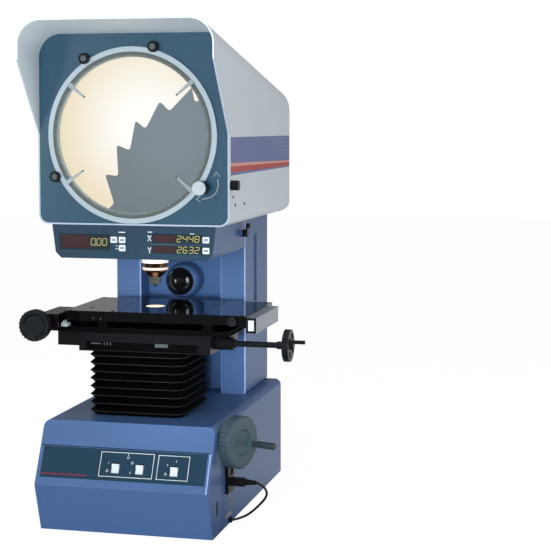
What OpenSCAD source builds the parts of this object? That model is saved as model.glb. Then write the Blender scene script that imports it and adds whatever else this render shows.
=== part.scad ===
// Vertical profile projector: a cast base with a control slope, a column, a projection head with a
// hooded rotating screen, a counter arm with the projection lens, and a lifting XY stage on bellows.
// X is right, Y is back, Z is up. The origin is the middle of the underside.

/* [Base] */
// Width of the base
base_w = 360; // [340:1:390]
// Depth of the underside
base_d = 580; // [560:1:620]
// Height of the base
base_h = 218; // [210:1:228]
// Height of the nose below the control slope
nose_z = 98; // [90:1:106]
// How far the nose stands out before the underside
nose_out = 32; // [22:1:42]
// Height of the upper edge of the control slope
brow_z = 172; // [166:1:180]
// Setback of that upper edge behind the underside's front edge
brow_back = 5; // [0:1:12]
// Setback of the top's front edge
top_back = 26; // [18:1:36]
// Radius of the base's upper side edges
shoulder_r = 14; // [8:0.5:16]
// Wall of the base casting
base_wall = 6; // [5:0.5:8]
// Thickness of the bottom plate
plate_t = 6; // [4:0.5:10]

/* [Control slope] */
// Width of the control panel
panel_w = 342; // [320:1:346]
// Height of the panel along the slope
panel_l = 63; // [58:1:65]
// Lower edge of the panel, up the slope from the nose
panel_s = 16.5; // [12:0.5:18]
// Thickness of the panel
panel_t = 2.6; // [2:0.1:4]
// Width of a rocker switch
rocker_w = 15; // [12:0.5:17]
// Length of a rocker switch
rocker_l = 19.5; // [16:0.5:22]
// Tilt of a rocker to each side
rocker_tilt = 8; // [5:1:12]

/* [Column] */
// Width of the column
column_w = 297; // [280:1:320]
// Depth of the column
column_d = 207; // [190:1:230]
// Width of the recess between the two pillars
recess_w = 184; // [170:1:200]
// Depth of the recess
recess_d = 60; // [50:1:70]
// Wall of the column
column_wall = 6; // [5:0.5:9]
// Thickness of the rear cover
cover_t = 4; // [3:0.5:6]

/* [Arm] */
// Height of the arm's underside
arm_z = 544; // [530:1:560]
// Height of the arm
arm_h = 68; // [62:1:76]
// Width of the arm at its front
arm_w = 344; // [330:1:360]
// Wall of the arm
arm_wall = 5; // [4:0.5:7]
// Thickness of the display fascia
fascia_t = 4; // [3:0.5:6]

/* [Head] */
// Width of the head to each side of the screen ring
head_beside = 23.5; // [18:0.5:30]
// Height of the head above the screen ring, at the front of its hood
head_over = 50.5; // [44:0.5:60]
// Rear face of the head
head_rear = 292; // [285:1:310]
// Front face of the screen panel
screen_y = -235; // [-240:1:-230]
// How far the hood stands out before the screen panel
hood_out = 107; // [90:1:120]
// Height on the head where the hood's edge starts to slant
hood_low = 184; // [170:1:200]
// Height on the head where the slant ends
hood_high = 328; // [310:1:340]
// Fall of the roof to the rear, in degrees
roof_fall = 11.1; // [10:0.1:14]
// Radius of the roof's long edges
roof_r = 50; // [40:1:60]
// Radius of the head's lower edges
skirt_r = 21; // [15:1:26]
// Radius where the roof turns down to the rear
rear_r = 36; // [30:1:60]
// Wall of the head shell
shell_t = 3; // [3:0.25:4]
// Thickness of the screen panel
screen_panel_t = 4; // [3:0.5:6]

/* [Screen] */
// Clearance between the ring and the head's floor
screen_clear = 0.5; // [0.4:0.1:4]
// Diameter of the visible ground glass
glass_d = 312; // [300:1:318]
// Width of the screen ring around the glass
ring_w = 20.5; // [18:0.5:22]
// Width of the hub around the glass, which turns in the panel
hub_w = 9; // [8:0.5:11]
// How far the ring stands before the panel
ring_out = 5; // [4:0.5:7]
// Radius of a guide roller's flange
roller_flange_r = 11; // [9:0.5:12]
// Radius of the feed knob
feed_knob_r = 14; // [11:0.5:16]
// Length of the feed knob
feed_knob_l = 24; // [18:1:30]

/* [Lens] */
// Distance of the optical axis behind the middle of the underside
optic_y = -93; // [-98:1:-88]
// Radius of the lens flange
lens_r = 28; // [24:0.5:32]
// Height of the flange
lens_flange_h = 34.5; // [30:0.5:40]
// Length of the lens barrel below the flange
barrel_l = 30.5; // [26:0.5:36]
// Radius of the barrel's tip
tip_r = 11.5; // [9:0.5:14]

/* [Stage] */
// Height of the table's top face at rest
stage_z = 432; // [424:1:438]
// Width of the table
table_w = 385; // [370:1:400]
// Depth of the table
table_d = 225; // [218:1:235]
// Thickness of the table
table_t = 20; // [18:0.5:24]
// Where the table's middle stands to the right of the optical axis at rest
table_x = 31.5; // [26:0.5:36]
// Height of the rails under the table
rail_h = 14; // [12:0.5:18]
// Thickness of the cross slide
slide_t = 10; // [8:0.5:12]
// Height of the stage tray
tray_h = 38; // [36:0.5:42]
// Width of the stage tray
tray_w = 280; // [270:1:290]
// Thickness of the stage glass
stage_glass_t = 6; // [4:0.5:8]
// Radius of the light opening in the stage
light_r = 36; // [30:0.5:38]
// Travel of the table along X
x_travel = 100; // [60:1:100]
// Travel of the table along Y
y_travel = 50; // [30:1:50]
// Radius of the X handwheel
x_wheel_r = 32.5; // [28:0.5:36]
// Radius of the Y knob
y_knob_r = 32; // [28:0.5:34]

/* [Lift] */
// Outer radius of the lift tube
ram_r = 34; // [33:0.5:36]
// Length of the lift tube
ram_l = 250; // [244:1:256]
// Radius of the guide bush in the base
guide_r = 50; // [44:0.5:52]
// Width of the bellows across its tips
bellows_w = 206; // [190:1:210]
// Depth of the bellows across its tips
bellows_d = 190; // [180:1:192]
// Depth of one fold
fold_depth = 9; // [6:0.5:11]
// Number of folds
folds = 8; // [6:1:10]
// Radius of the lift handwheel
lift_wheel_r = 53; // [46:0.5:54]
// Thickness of the lift handwheel
lift_wheel_t = 25; // [20:0.5:28]
// Angle of the wheel's shaft towards the front, in degrees
shaft_turn = 20; // [16:1:24]
// Radius of the wheel's shaft
shaft_r = 6; // [5:0.25:7]

/* [Fits] */
// Running clearance of a shaft in its bore
run_gap = 0.05; // [0.02:0.01:0.1]
// Gap between pieces that move past each other
free_gap = 0.3; // [0.2:0.05:0.5]

/* [Hidden] */
$fn = 64;
eps = 0.01;

// Heights
head_z = arm_z + arm_h;
table_z = stage_z - table_t;
slide_z = table_z - rail_h - slide_t;
tray_z = slide_z - tray_h;
ring_r = glass_d / 2 + ring_w;
hub_r = glass_d / 2 + hub_w;
screen_up = ring_r + shell_t + screen_clear;
screen_z = head_z + screen_up;
head_w = 2 * (ring_r + head_beside);
head_h = screen_up + ring_r + head_over;
head_top = head_z + head_h;
lens_tip_z = arm_z - lens_flange_h - barrel_l;

// Outline of the base seen from the side
front_y = -base_d / 2;
rear_y = base_d / 2;
nose_y = front_y - nose_out;
brow_y = front_y + brow_back;
top_y = front_y + top_back;
slope_a = atan2(brow_z - nose_z, brow_y - nose_y);

// Column and arm
column_y = rear_y - column_d;
recess_y = column_y + recess_d;
arm_front = screen_y + fascia_t;
arm_low_w = arm_w - 14;

// Head
hood_y = screen_y - hood_out;
function roof_z(y) = head_top - tan(roof_fall) * (y - hood_y);
panel_back = screen_y + screen_panel_t;

// Screen
ring_y = screen_y - ring_out;
roller_r = 4.5;
roller_pitch = ring_r + free_gap + roller_r;
roller_pin_r = 2.5;
roller_angles = [122.5, 75, 207.4];
feed_angle = -34.6;
drive_ring_r = hub_r + 6;
feed_shaft_r = 3;
feed_pitch = ring_r + feed_shaft_r + 0.6;
feed_roller_r = feed_pitch - drive_ring_r - free_gap;
clip_angles = [40, 142, 215, 319];
clip_l = 34;

// Stage
table_x0 = table_x - table_w / 2;
table_x1 = table_x + table_w / 2;
table_y = optic_y + 5.5;
table_y0 = table_y - table_d / 2;
table_y1 = table_y + table_d / 2;
tray_x0 = -tray_w / 2 + 10;
tray_x1 = tray_w / 2 + 10;
tray_y0 = table_y0;
tray_y1 = table_y1 - 5;
tray_rail = 18;
tray_floor = 8;
x_min = -(table_x + x_travel / 2);
x_max = x_travel / 2 - table_x;
x_screw_r = 6;
x_screw_y = optic_y - 57;
x_screw_z = tray_z + 18;
x_boss_r = 13.5;
x_boss_l = 37;
x_wheel_x = tray_x1 + 149;
x_wheel_t = 13;
x_pin_at = 18.5;
x_pin_a = 14;
box_w = 43;
box_x0 = table_x0 - 2 - box_w;
box_y0 = table_y0 - 32;
box_l = 115;
box_wall = 6;
box_h = table_t + rail_h - 4;
y_screw_r = 5;
y_screw_x = box_x0 + 14;
y_screw_z = slide_z + slide_t + 13;
y_nut_y = box_y0 + 48;
y_nut_l = 20;
y_tube_l = 34;
y_knob_l = 22;

// Lift
ram_bore = ram_r - 5;
ram_z = tray_z - ram_l;
guide_z = 150;
wheel_c = [base_w / 2 + 42, -212, base_h - 39];
bevel_r = 16;
lift_screw_r = 8;
screw_reach = (wheel_c.x - 50) / cos(shaft_turn);
lift_screw_x = wheel_c.x - screw_reach * cos(shaft_turn);
lift_screw_y = wheel_c.y + screw_reach * sin(shaft_turn);
handle_drop = 14;
handle_at = (lift_wheel_r - 10) * [sin(handle_drop), cos(handle_drop), 0];
handle_l = 48;
handle_r = 7;
handle_pin_r = 3;

// Cord from the plug to the gland: points along its middle, out from the base's side
cord_d = 5;
cord_run = [[60, -176, 90], [66, -174.5, 87.5], [71, -171, 83], [74, -164, 77], [75.3, -156, 69.5],
    [74.5, -148.5, 61], [71, -142, 53], [66, -137, 45.5], [60, -133, 38.5], [53.5, -130, 31.5],
    [47, -128.5, 25], [40.5, -128.5, 19], [34, -130, 13.8], [28, -133.5, 10], [23, -138.5, 8.2],
    [19, -144.5, 7.6], [16, -151, 7.5], [13, -157.5, 7.6], [10, -163, 8], [6, -167, 8]];
cord_points = [for (p = cord_run) [base_w / 2 + p.x, p.y, p.z]];

blue = "#43618F";
teal = "#24475A";
panel_blue = "#47698A";
pale = "#C5CED3";
black = "#1E2126";
steel = "#B8BEC4";
wheel_grey = "#4D5F65";

// Extrudes an outline drawn in Y and Z along X, centred
module x_prism(w) {
    rotate([90, 0, 90]) translate([0, 0, -w / 2]) linear_extrude(w) children();
}

// Extrudes an outline drawn in X and Z from y0 to y1
module y_prism(y0, y1) {
    translate([0, y1, 0]) rotate([90, 0, 0]) linear_extrude(y1 - y0) children();
}

// Cylinder along Y
module y_rod(x, z, y0, y1, r) {
    translate([x, y1, z]) rotate([90, 0, 0]) cylinder(h = y1 - y0, r = r);
}

// Cylinder along X
module x_rod(y, z, x0, x1, r) {
    translate([x0, y, z]) rotate([0, 90, 0]) cylinder(h = x1 - x0, r = r);
}

// Block between two corners
module block(a, b) {
    translate(a) cube(b - a);
}

// Rectangle with round corners, centred
module round_rect(w, h, r) {
    square([w - 2 * r, h], center = true);
    square([w, h - 2 * r], center = true);
    for (sx = [-1, 1], sy = [-1, 1])
        translate([sx * (w / 2 - r), sy * (h / 2 - r)]) circle(r);
}

// Places children on the control slope: x across, s up the slope, local Z out of it
module on_slope(x, s) {
    translate([x, nose_y + s * cos(slope_a), nose_z + s * sin(slope_a)])
        rotate([slope_a, 0, 0]) children();
}

rocker_places = [[-15, 42], [35, 42], [106, 42]];
rocker_depth = 5;
rocker_pin_r = 1.5;
rocker_pin_z = -6;
rocker_gap = 0.6;
switch_wall = 3;

module base_profile(t) {
    polygon([[front_y + t, t > 0 ? -1 : 0], [nose_y + 1.05 * t, nose_z], [brow_y + 1.1 * t, brow_z - 0.4 * t],
        [top_y + t, base_h - t], [rear_y - t, base_h - t], [rear_y - t, t > 0 ? -1 : 0]]);
}

// Front outline of the base with its two round shoulders
module base_front() {
    r = shoulder_r;
    translate([-base_w / 2, -1]) square([base_w, base_h + 1 - r]);
    translate([r - base_w / 2, base_h - 2 * r]) square([base_w - 2 * r, 2 * r]);
    for (sx = [-1, 1]) translate([sx * (base_w / 2 - r), base_h - r]) circle(r);
}

// Local frame of the lift wheel: Z out along its shaft, Y towards the rear, zero on its face
module at_lift_wheel() {
    translate(wheel_c) rotate([0, 90, -shaft_turn]) children();
}

boss_r = 22;
boss_in = 62;
boss_out = lift_wheel_t + 2;

// Cast base: open below, with the slope's recess, the guide's hole and the shaft's slanted boss
module base_housing() {
    color(blue) difference() {
        union() {
            difference() {
                intersection() {
                    x_prism(base_w) base_profile(0);
                    y_prism(nose_y - 1, rear_y + 1) base_front();
                }
                x_prism(base_w - 2 * base_wall) base_profile(base_wall);
            }
            at_lift_wheel() translate([0, 0, -boss_in]) cylinder(h = boss_in - boss_out, r = boss_r);
        }
        at_lift_wheel() translate([0, 0, -boss_in - 1]) cylinder(h = boss_in, r = shaft_r + run_gap);
        on_slope(-panel_w / 2 - 1, panel_s) translate([0, 0, -2]) cube([panel_w, panel_l, 10]);
        for (p = rocker_places)
            on_slope(p.x, p.y) translate([0, 0, -10])
                cube([rocker_w + 2 * switch_wall + 1, rocker_l + 2 * switch_wall + 1, 30], center = true);
        translate([0, optic_y, base_h - base_wall - 1]) cylinder(h = base_wall + 2, r = guide_r + free_gap);
        for (sx = [-1, 1])
            translate([sx * base_w / 2, front_y + 92, 20]) cube([3, 2, 2 * (base_h - 40)], center = true);
    }
}

// Bottom plate inside the walls, the face that the projector stands on
module base_plate() {
    color("#3A4048")
        block([-base_w / 2 + base_wall + free_gap, front_y + base_wall + 4, 0],
            [base_w / 2 - base_wall - free_gap, rear_y - base_wall - free_gap, plate_t]);
}

// Control panel let into the slope, with three switch openings
module control_panel() {
    color(teal) difference() {
        on_slope(-panel_w / 2 - 1 + free_gap, panel_s + free_gap) translate([0, 0, -2])
            cube([panel_w - 2 * free_gap, panel_l - 2 * free_gap, panel_t]);
        for (p = rocker_places)
            on_slope(p.x, p.y)
                cube([rocker_w + 2 * rocker_gap, rocker_l + 2 * rocker_gap + 1, 30], center = true);
    }
}

// Switch bodies behind the panel, with the rockers' pivot holes
module switch_housings() {
    color("#2A2D31") for (p = rocker_places)
        on_slope(p.x, p.y) difference() {
            translate([0, 0, -13])
                cube([rocker_w + 2 * switch_wall, rocker_l + 2 * switch_wall, 22], center = true);
            translate([0, 0, -9])
                cube([rocker_w + 2 * rocker_gap, rocker_l + 2 * rocker_gap + 1, 22], center = true);
            translate([-rocker_w, 0, rocker_pin_z]) rotate([0, 90, 0])
                cylinder(h = 2 * rocker_w, r = rocker_pin_r + run_gap);
        }
}

// One rocker: a shallow V seen from the side, on a cross pin
module rocker(p) {
    color("#E6E9EA") on_slope(p.x, p.y) translate([0, 0, rocker_pin_z]) rotate([rocker_tilt, 0, 0]) {
        x_prism(rocker_w) polygon([[-rocker_l / 2, 3.5], [-rocker_l / 2 + 1, rocker_depth + 6],
            [0, rocker_depth + 3.6], [rocker_l / 2 - 1, rocker_depth + 6], [rocker_l / 2, 3.5],
            [3, -3], [-3, -3]]);
        translate([-rocker_w / 2 - 2, 0, 0]) rotate([0, 90, 0]) cylinder(h = rocker_w + 4, r = rocker_pin_r);
    }
}

module contour_switch() { rocker(rocker_places[0]); }
module surface_switch() { rocker(rocker_places[1]); }
module power_switch() { rocker(rocker_places[2]); }

inlet_y = -176;
inlet_z = 90;
inlet_t = 7;
plug_l = 30;
relief_l = 23;

// Connector block on the right side of the base
module power_inlet() {
    color(black) difference() {
        block([base_w / 2, inlet_y - 22, inlet_z - 22], [base_w / 2 + inlet_t, inlet_y + 26, inlet_z + 40]);
        block([base_w / 2 + inlet_t - 3, inlet_y - 10, inlet_z + 14],
            [base_w / 2 + inlet_t + 1, inlet_y + 14, inlet_z + 32]);
    }
}

// Cord plug with its tapered strain relief
module cord_plug() {
    plug_x = base_w / 2 + inlet_t;
    color(black) {
        translate([plug_x, inlet_y, inlet_z]) rotate([0, 90, 0]) {
            linear_extrude(plug_l) round_rect(16, 20, 4);
            translate([0, 0, plug_l]) cylinder(h = relief_l, r1 = 6.5, r2 = 4);
        }
    }
}

// Ring of points round the cord's path at point i
cord_sides = 10;
function unit(v) = v / norm(v);
function cord_dir(i) = i == 0 ? [1, 0, 0] : i == len(cord_points) - 1 ? [-1, 0, 0]
    : unit(cord_points[i + 1] - cord_points[i - 1]);
function cord_ring(i) = let (d = cord_dir(i), s = unit(cross(d, [0.1, 0.3, 1])), t = cross(d, s))
    [for (k = [0:cord_sides - 1]) cord_points[i] + cord_d / 2
        * (cos(360 * k / cord_sides) * s + sin(360 * k / cord_sides) * t)];

// Free cord from the plug round to the gland
module lamp_cord() {
    n = len(cord_points);
    color(black) polyhedron(
        points = [for (i = [0:n - 1]) each cord_ring(i)],
        faces = concat([[for (k = [0:cord_sides - 1]) k]],
            [[for (k = [cord_sides - 1:-1:0]) (n - 1) * cord_sides + k]],
            [for (i = [0:n - 2], k = [0:cord_sides - 1])
                let (a = i * cord_sides + k, b = i * cord_sides + (k + 1) % cord_sides)
                [a, a + cord_sides, b + cord_sides, b]]));
}

// Gland low on the side of the base, where the cord goes in
module cord_gland() {
    gland = cord_points[len(cord_points) - 1];
    color(black) x_rod(gland.y, gland.z, base_w / 2, gland.x, 6);
}

// Mains transformer on the bottom plate
module transformer() {
    color("#5B5148") {
        x = base_w / 2 - 120;
        block([x, 90, plate_t], [x + 90, 165, plate_t + 70]);
        block([x + 14, 78, plate_t + 12], [x + 76, 90, plate_t + 58]);
        block([x + 14, 165, plate_t + 12], [x + 76, 177, plate_t + 58]);
    }
}

lamp_z = plate_t + 16;

// Contour lamp house behind the lift tube, open towards it
module lamp_house() {
    color("#8C9298") difference() {
        block([-45, 10, plate_t], [45, 110, plate_t + 90]);
        block([-40, 4, plate_t + 4], [40, 104, plate_t + 84]);
        for (i = [0:4]) block([-36 + 16 * i, 20, plate_t + 80], [-30 + 16 * i, 98, plate_t + 92]);
    }
}

// Halogen lamp in its holder
module contour_lamp() {
    color("#D8D4C8") {
        y_rod(0, lamp_z, 70, 104, 9);
        y_rod(0, lamp_z, 52, 70, 6);
        translate([0, 52, lamp_z]) sphere(6);
    }
}

// Small mirror at 45 degrees under the lift tube, on its wedge
module fold_mirror() {
    color("#9AA6AE") translate([0, optic_y, plate_t]) x_prism(44)
        polygon([[-16, 0], [16, 0], [-16, 29]]);
}

// U-shaped column with the lamp recess in front and a hollow closed at the rear
module column_housing() {
    color(blue) difference() {
        block([-column_w / 2, column_y, base_h], [column_w / 2, rear_y, head_z]);
        block([-recess_w / 2, column_y - 1, base_h - 1], [recess_w / 2, recess_y, arm_z]);
        block([-column_w / 2 + column_wall, recess_y + column_wall, base_h + column_wall],
            [column_w / 2 - column_wall, rear_y + 1, head_z - column_wall]);
        for (sx = [-1, 1])
            translate([sx * column_w / 2, column_y + 88, base_h + 273])
                cube([4, 28, 152], center = true);
    }
}

// Sheet cover over the back of the column, with vent slots
module column_rear_cover() {
    color(blue) difference() {
        block([-column_w / 2 + column_wall + free_gap, rear_y - cover_t, base_h + column_wall],
            [column_w / 2 - column_wall - free_gap, rear_y, head_z - column_wall - free_gap]);
        for (i = [0:7])
            translate([0, rear_y, base_h + 40 + 12 * i]) cube([120, 3 * cover_t, 5], center = true);
    }
}

// Plan and front outlines of the arm, drawn inwards by t
module arm_form(t, y0, y1) {
    intersection() {
        y_prism(y0, y1) polygon([[-arm_w / 2 + t, head_z - t], [-arm_low_w / 2 + t, arm_z + 12],
            [-arm_low_w / 2 + 12 + t, arm_z + t], [arm_low_w / 2 - 12 - t, arm_z + t],
            [arm_low_w / 2 - t, arm_z + 12], [arm_w / 2 - t, head_z - t]]);
        translate([0, 0, arm_z]) linear_extrude(arm_h) polygon([[-arm_w / 2 + t, arm_front],
            [arm_w / 2 - t, arm_front], [column_w / 2 - t, column_y], [-column_w / 2 + t, column_y]]);
    }
}

lever_y = column_y - 55;
lever_z = arm_z + 35;
lever_pin_r = 3;
lever_boss_x = column_w / 2 + 10;

// Counter and lens arm: hollow behind the fascia, bored for the lens
module arm_housing() {
    color(blue) difference() {
        union() {
            arm_form(0, arm_front, column_y);
            x_rod(lever_y, lever_z, column_w / 2 - 12, lever_boss_x, 8);
        }
        translate([0, 0, eps]) arm_form(arm_wall, arm_front - 1, column_y - arm_wall);
        block([-arm_w / 2 + 2 * arm_wall + 6, arm_front - 1, arm_z + 14],
            [arm_w / 2 - 2 * arm_wall - 6, arm_front + 1, head_z - arm_wall]);
        translate([0, optic_y, arm_z - 1]) cylinder(h = arm_h + 2, r = lens_r - 4);
        x_rod(lever_y, lever_z, column_w / 2 - 30, lever_boss_x + 1, lever_pin_r + run_gap);
    }
}

// Display openings: x, z of the lower left corner from the arm's underside, width, height
windows = [[-156, 18, 108, 31], [41, 34.5, 102, 17.5], [41, 13, 102, 15.5]];
key_places = [[-39, 39], [-21.5, 39], [-21.5, 22.5], [153, 42], [153, 20.5]];
key_w = 14;
key_h = 12.5;
key_travel = 1.2;
key_gap = 0.3;
key_stem_r = 3;
window_t = 2;

// Fascia in front of the arm, with its window recesses and key openings
module display_fascia() {
    color(teal) difference() {
        y_prism(screen_y, arm_front) polygon([[-arm_w / 2, head_z], [-arm_low_w / 2, arm_z + 12],
            [-arm_low_w / 2 + 12, arm_z], [arm_low_w / 2 - 12, arm_z], [arm_low_w / 2, arm_z + 12],
            [arm_w / 2, head_z]]);
        for (w = windows)
            block([w[0], screen_y - 1, arm_z + w[1]],
                [w[0] + w[2], screen_y + window_t, arm_z + w[1] + w[3]]);
        for (k = key_places)
            y_rod(k.x, arm_z + k.y, screen_y - 1, arm_front + 1, key_stem_r + run_gap);
    }
}

// Tinted windows of the three displays
module display_windows() {
    color("#3A0F12") for (w = windows)
        block([w[0] + key_gap, screen_y + 0.4, arm_z + w[1] + key_gap],
            [w[0] + w[2] - key_gap, screen_y + window_t, arm_z + w[1] + w[3] - key_gap]);
}

// One push key: a cap before the fascia on a round stem with a catch behind it
module push_key(p) {
    cap_t = 2.5;
    cap_y = screen_y - key_travel - 0.3;
    color("#E8EBEC") {
        y_prism(cap_y - cap_t, cap_y) translate([p.x, arm_z + p.y]) round_rect(key_w, key_h, 2);
        y_rod(p.x, arm_z + p.y, cap_y, arm_front + 0.3, key_stem_r);
        y_rod(p.x, arm_z + p.y, arm_front + 0.3, arm_front + 2.3, key_stem_r + 1.5);
    }
}

module key_count() { push_key(key_places[0]); }
module key_mode() { push_key(key_places[1]); }
module key_unit() { push_key(key_places[2]); }
module key_x() { push_key(key_places[3]); }
module key_y() { push_key(key_places[4]); }

// Clamp lever on the arm's right side
module arm_lever() {
    hub_x = lever_boss_x + free_gap;
    color(black) {
        x_rod(lever_y, lever_z, lever_boss_x - 14, hub_x, lever_pin_r);
        x_rod(lever_y, lever_z, hub_x, hub_x + 10, 8);
        translate([hub_x + 3, lever_y, lever_z - 3.5]) rotate([30, 0, 0]) {
            translate([0, 4, 0]) cube([4, 26, 7]);
            translate([2, 30, 3.5]) rotate([0, 90, 0]) cylinder(h = 8, r = 5, center = true);
        }
    }
}

// Points of an arc about c from angle a0 to a1, in equal steps
arc_steps = 12;
function arc(c, r, a0, a1) = [for (i = [0:arc_steps])
    let (a = a0 + (a1 - a0) * i / arc_steps) c + r * [cos(a), sin(a)]];

// Side outline of the head, drawn inwards by t and run out before the hood where open
module head_side(t, open) {
    rz = head_z + t;
    yr = head_rear - t;
    r = rear_r - t;
    s = skirt_r - t;
    drop = t / cos(roof_fall);
    cy = yr - r;
    cz = roof_z(cy) - drop - r / cos(roof_fall);
    far_y = hood_y - 60;
    front = open ? [[far_y, rz], [far_y, roof_z(far_y) - drop]]
        : [[screen_y, rz], [screen_y, head_z + hood_low], [hood_y, head_z + hood_high], [hood_y, head_top]];
    polygon(concat(front, arc([cy, cz], r, 90 - roof_fall, 0), arc([yr - s, rz + s], s, 0, -90)));
}

// Solid of the head, drawn inwards by t: side outline, round roof edges and round lower edges
module head_form(t, open) {
    w = head_w - 2 * t;
    r = roof_r - t;
    s = skirt_r - t;
    reach = head_h + 300;
    intersection() {
        x_prism(w) head_side(t, open);
        translate([0, hood_y, head_top]) rotate([-roof_fall, 0, 0]) y_prism(-90, head_rear - hood_y + 150)
            polygon(concat([[-w / 2, -reach], [w / 2, -reach]], arc([w / 2 - r, -t - r], r, 0, 90),
                arc([r - w / 2, -t - r], r, 90, 180)));
        y_prism(hood_y - 70, head_rear + 10)
            polygon(concat([[w / 2, head_z + reach], [-w / 2, head_z + reach]],
                arc([s - w / 2, head_z + t + s], s, 180, 270),
                arc([w / 2 - s, head_z + t + s], s, 270, 360)));
    }
}

rear_cover_w = 300;
rear_cover_h = 120;
rear_cover_z = head_z + 50;
clamp_y = screen_y + 14;
clamp_z = head_z + 82;
clamp_pin_r = 4;

// Hooded shell of the head
module head_shell() {
    color(pale) difference() {
        head_form(0, false);
        head_form(shell_t, true);
        translate([0, optic_y, head_z - 1]) cylinder(h = shell_t + 2, r = lens_r + 4);
        block([-rear_cover_w / 2, head_rear - 2 * shell_t, rear_cover_z],
            [rear_cover_w / 2, head_rear + 1, rear_cover_z + rear_cover_h]);
        x_rod(clamp_y, clamp_z, head_w / 2 - 3 * shell_t, head_w / 2 + 1, clamp_pin_r + run_gap);
    }
}

// Panel that carries the rotating screen, with its roller pins
module screen_panel() {
    color(panel_blue) {
        difference() {
            intersection() {
                head_form(shell_t + free_gap, true);
                block([-head_w, screen_y, 0], [head_w, panel_back, 2 * head_top]);
            }
            y_rod(0, screen_z, screen_y - 1, panel_back + 1, hub_r + run_gap);
            y_rod(feed_pitch * cos(feed_angle), screen_z + feed_pitch * sin(feed_angle),
                screen_y - 1, panel_back + 1, feed_shaft_r + run_gap);
        }
        for (a = roller_angles)
            y_rod(roller_pitch * cos(a), screen_z + roller_pitch * sin(a),
                ring_y - 7, screen_y + 1, roller_pin_r);
    }
}

// Cover over the mirror opening in the head's rear
module head_rear_cover() {
    color(pale) difference() {
        block([-rear_cover_w / 2 + free_gap, head_rear - shell_t, rear_cover_z],
            [rear_cover_w / 2 - free_gap, head_rear, rear_cover_z + rear_cover_h - free_gap]);
        for (i = [0:5])
            translate([0, head_rear, rear_cover_z + 24 + 10 * i]) cube([160, 3 * shell_t, 4], center = true);
    }
}

upper_z = head_z + 108;
upper_tilt = 51.8;
upper_w = 90;
upper_l = 90;
mirror_t = 6;

// Two cheeks on the head's floor that hold the upper mirror
module upper_mirror_bracket() {
    color("#6F767C") for (sx = [-1, 1])
        translate([sx * (upper_w / 2 + free_gap + 2), 0, 0]) x_prism(4)
            polygon([[optic_y - 45, head_z + shell_t], [optic_y + 40, head_z + shell_t],
                [optic_y + 40, upper_z + 50], [optic_y - 45, upper_z + 20]]);
}

// First mirror over the lens, which sends the light to the rear
module upper_mirror() {
    color("#AEB8BE") translate([0, optic_y, upper_z]) rotate([upper_tilt, 0, 0])
        translate([-upper_w / 2 - free_gap, -upper_l / 2, 0]) cube([upper_w + 2 * free_gap, upper_l, mirror_t]);
}

main_z = rear_cover_z + rear_cover_h / 2;
main_y = head_rear - 45;
main_tilt = 7.2;
main_w = 280;
main_l = 110;

// Wedge on the rear cover that carries the large mirror
module main_mirror_mount() {
    back = mirror_t * [cos(main_tilt), sin(main_tilt)];
    along = main_l / 2 * [-sin(main_tilt), cos(main_tilt)];
    top = [main_y, main_z] + back + along;
    low = [main_y, main_z] + back - along;
    color("#6F767C") for (sx = [-1, 1])
        translate([sx * 100, 0, 0]) x_prism(20) polygon([low, top, [head_rear - shell_t, top.y],
            [head_rear - shell_t, low.y]]);
}

// Large mirror at the rear, which sends the light to the screen
module main_mirror() {
    color("#AEB8BE") translate([0, main_y, main_z]) rotate([main_tilt, 0, 0])
        translate([-main_w / 2, 0, -main_l / 2]) cube([main_w, mirror_t, main_l]);
}

glass_t = 4;
glass_seat_y = panel_back + 2;
glass_r = glass_d / 2 + 2.5;

// Turns a profile of radius and Y about the screen's axis
module screen_turned() {
    translate([0, 0, screen_z]) rotate([-90, 0, 0]) rotate_extrude($fn = 128) children();
}

// Protractor ring that turns in the panel
module screen_ring() {
    color("#B3C7D5") screen_turned() {
        translate([glass_d / 2, ring_y]) square([ring_r - glass_d / 2, ring_out - free_gap]);
        translate([glass_d / 2, ring_y]) square([hub_r - glass_d / 2, glass_seat_y - ring_y]);
        translate([glass_r + free_gap, ring_y + 1])
            square([hub_r - glass_r - free_gap, glass_seat_y + glass_t - ring_y - 1]);
    }
}

// Friction ring behind the panel, seated on the hub's rear face
module drive_ring() {
    color("#54595E") screen_turned()
        translate([glass_r - 1, glass_seat_y + glass_t]) square([drive_ring_r - glass_r + 1, 6]);
}

// Ground glass held between the ring's seat and the friction ring
module ground_glass() {
    color("#DDE3E0") screen_turned() translate([0, glass_seat_y]) square([glass_r, glass_t]);
}

clip_out = 1.2;

// Four spring clips on the ring that hold a chart on the glass
module chart_clips() {
    color(steel) for (a = clip_angles)
        translate([0, ring_y, screen_z]) rotate([0, -a, 0]) {
            block([glass_d / 2 + 1, -3, -5], [hub_r + 2, 0, 5]);
            block([glass_d / 2 - clip_l, -3, -3.5], [glass_d / 2 + 1, -3 + clip_out, 3.5]);
        }
}

// Guide roller with a flange before the ring
module ring_roller(a) {
    x = roller_pitch * cos(a);
    z = screen_z + roller_pitch * sin(a);
    color(black) difference() {
        union() {
            y_rod(x, z, ring_y - 6.5, ring_y - free_gap, roller_flange_r);
            y_rod(x, z, ring_y - free_gap, screen_y - free_gap, roller_r);
        }
        y_rod(x, z, ring_y - 10, screen_y, roller_pin_r + run_gap);
    }
}

module roller_left() { ring_roller(roller_angles[0]); }
module roller_top() { ring_roller(roller_angles[1]); }
module roller_low() { ring_roller(roller_angles[2]); }

// Knob whose friction roller turns the screen
module screen_feed_knob() {
    x = feed_pitch * cos(feed_angle);
    z = screen_z + feed_pitch * sin(feed_angle);
    knob_y = ring_y - 7;
    color(black) {
        y_rod(x, z, knob_y - feed_knob_l, knob_y, feed_knob_r);
        y_rod(x, z, knob_y, glass_seat_y + glass_t + 6, feed_shaft_r);
        y_rod(x, z, glass_seat_y + glass_t, glass_seat_y + glass_t + 6, feed_roller_r);
    }
}

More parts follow.
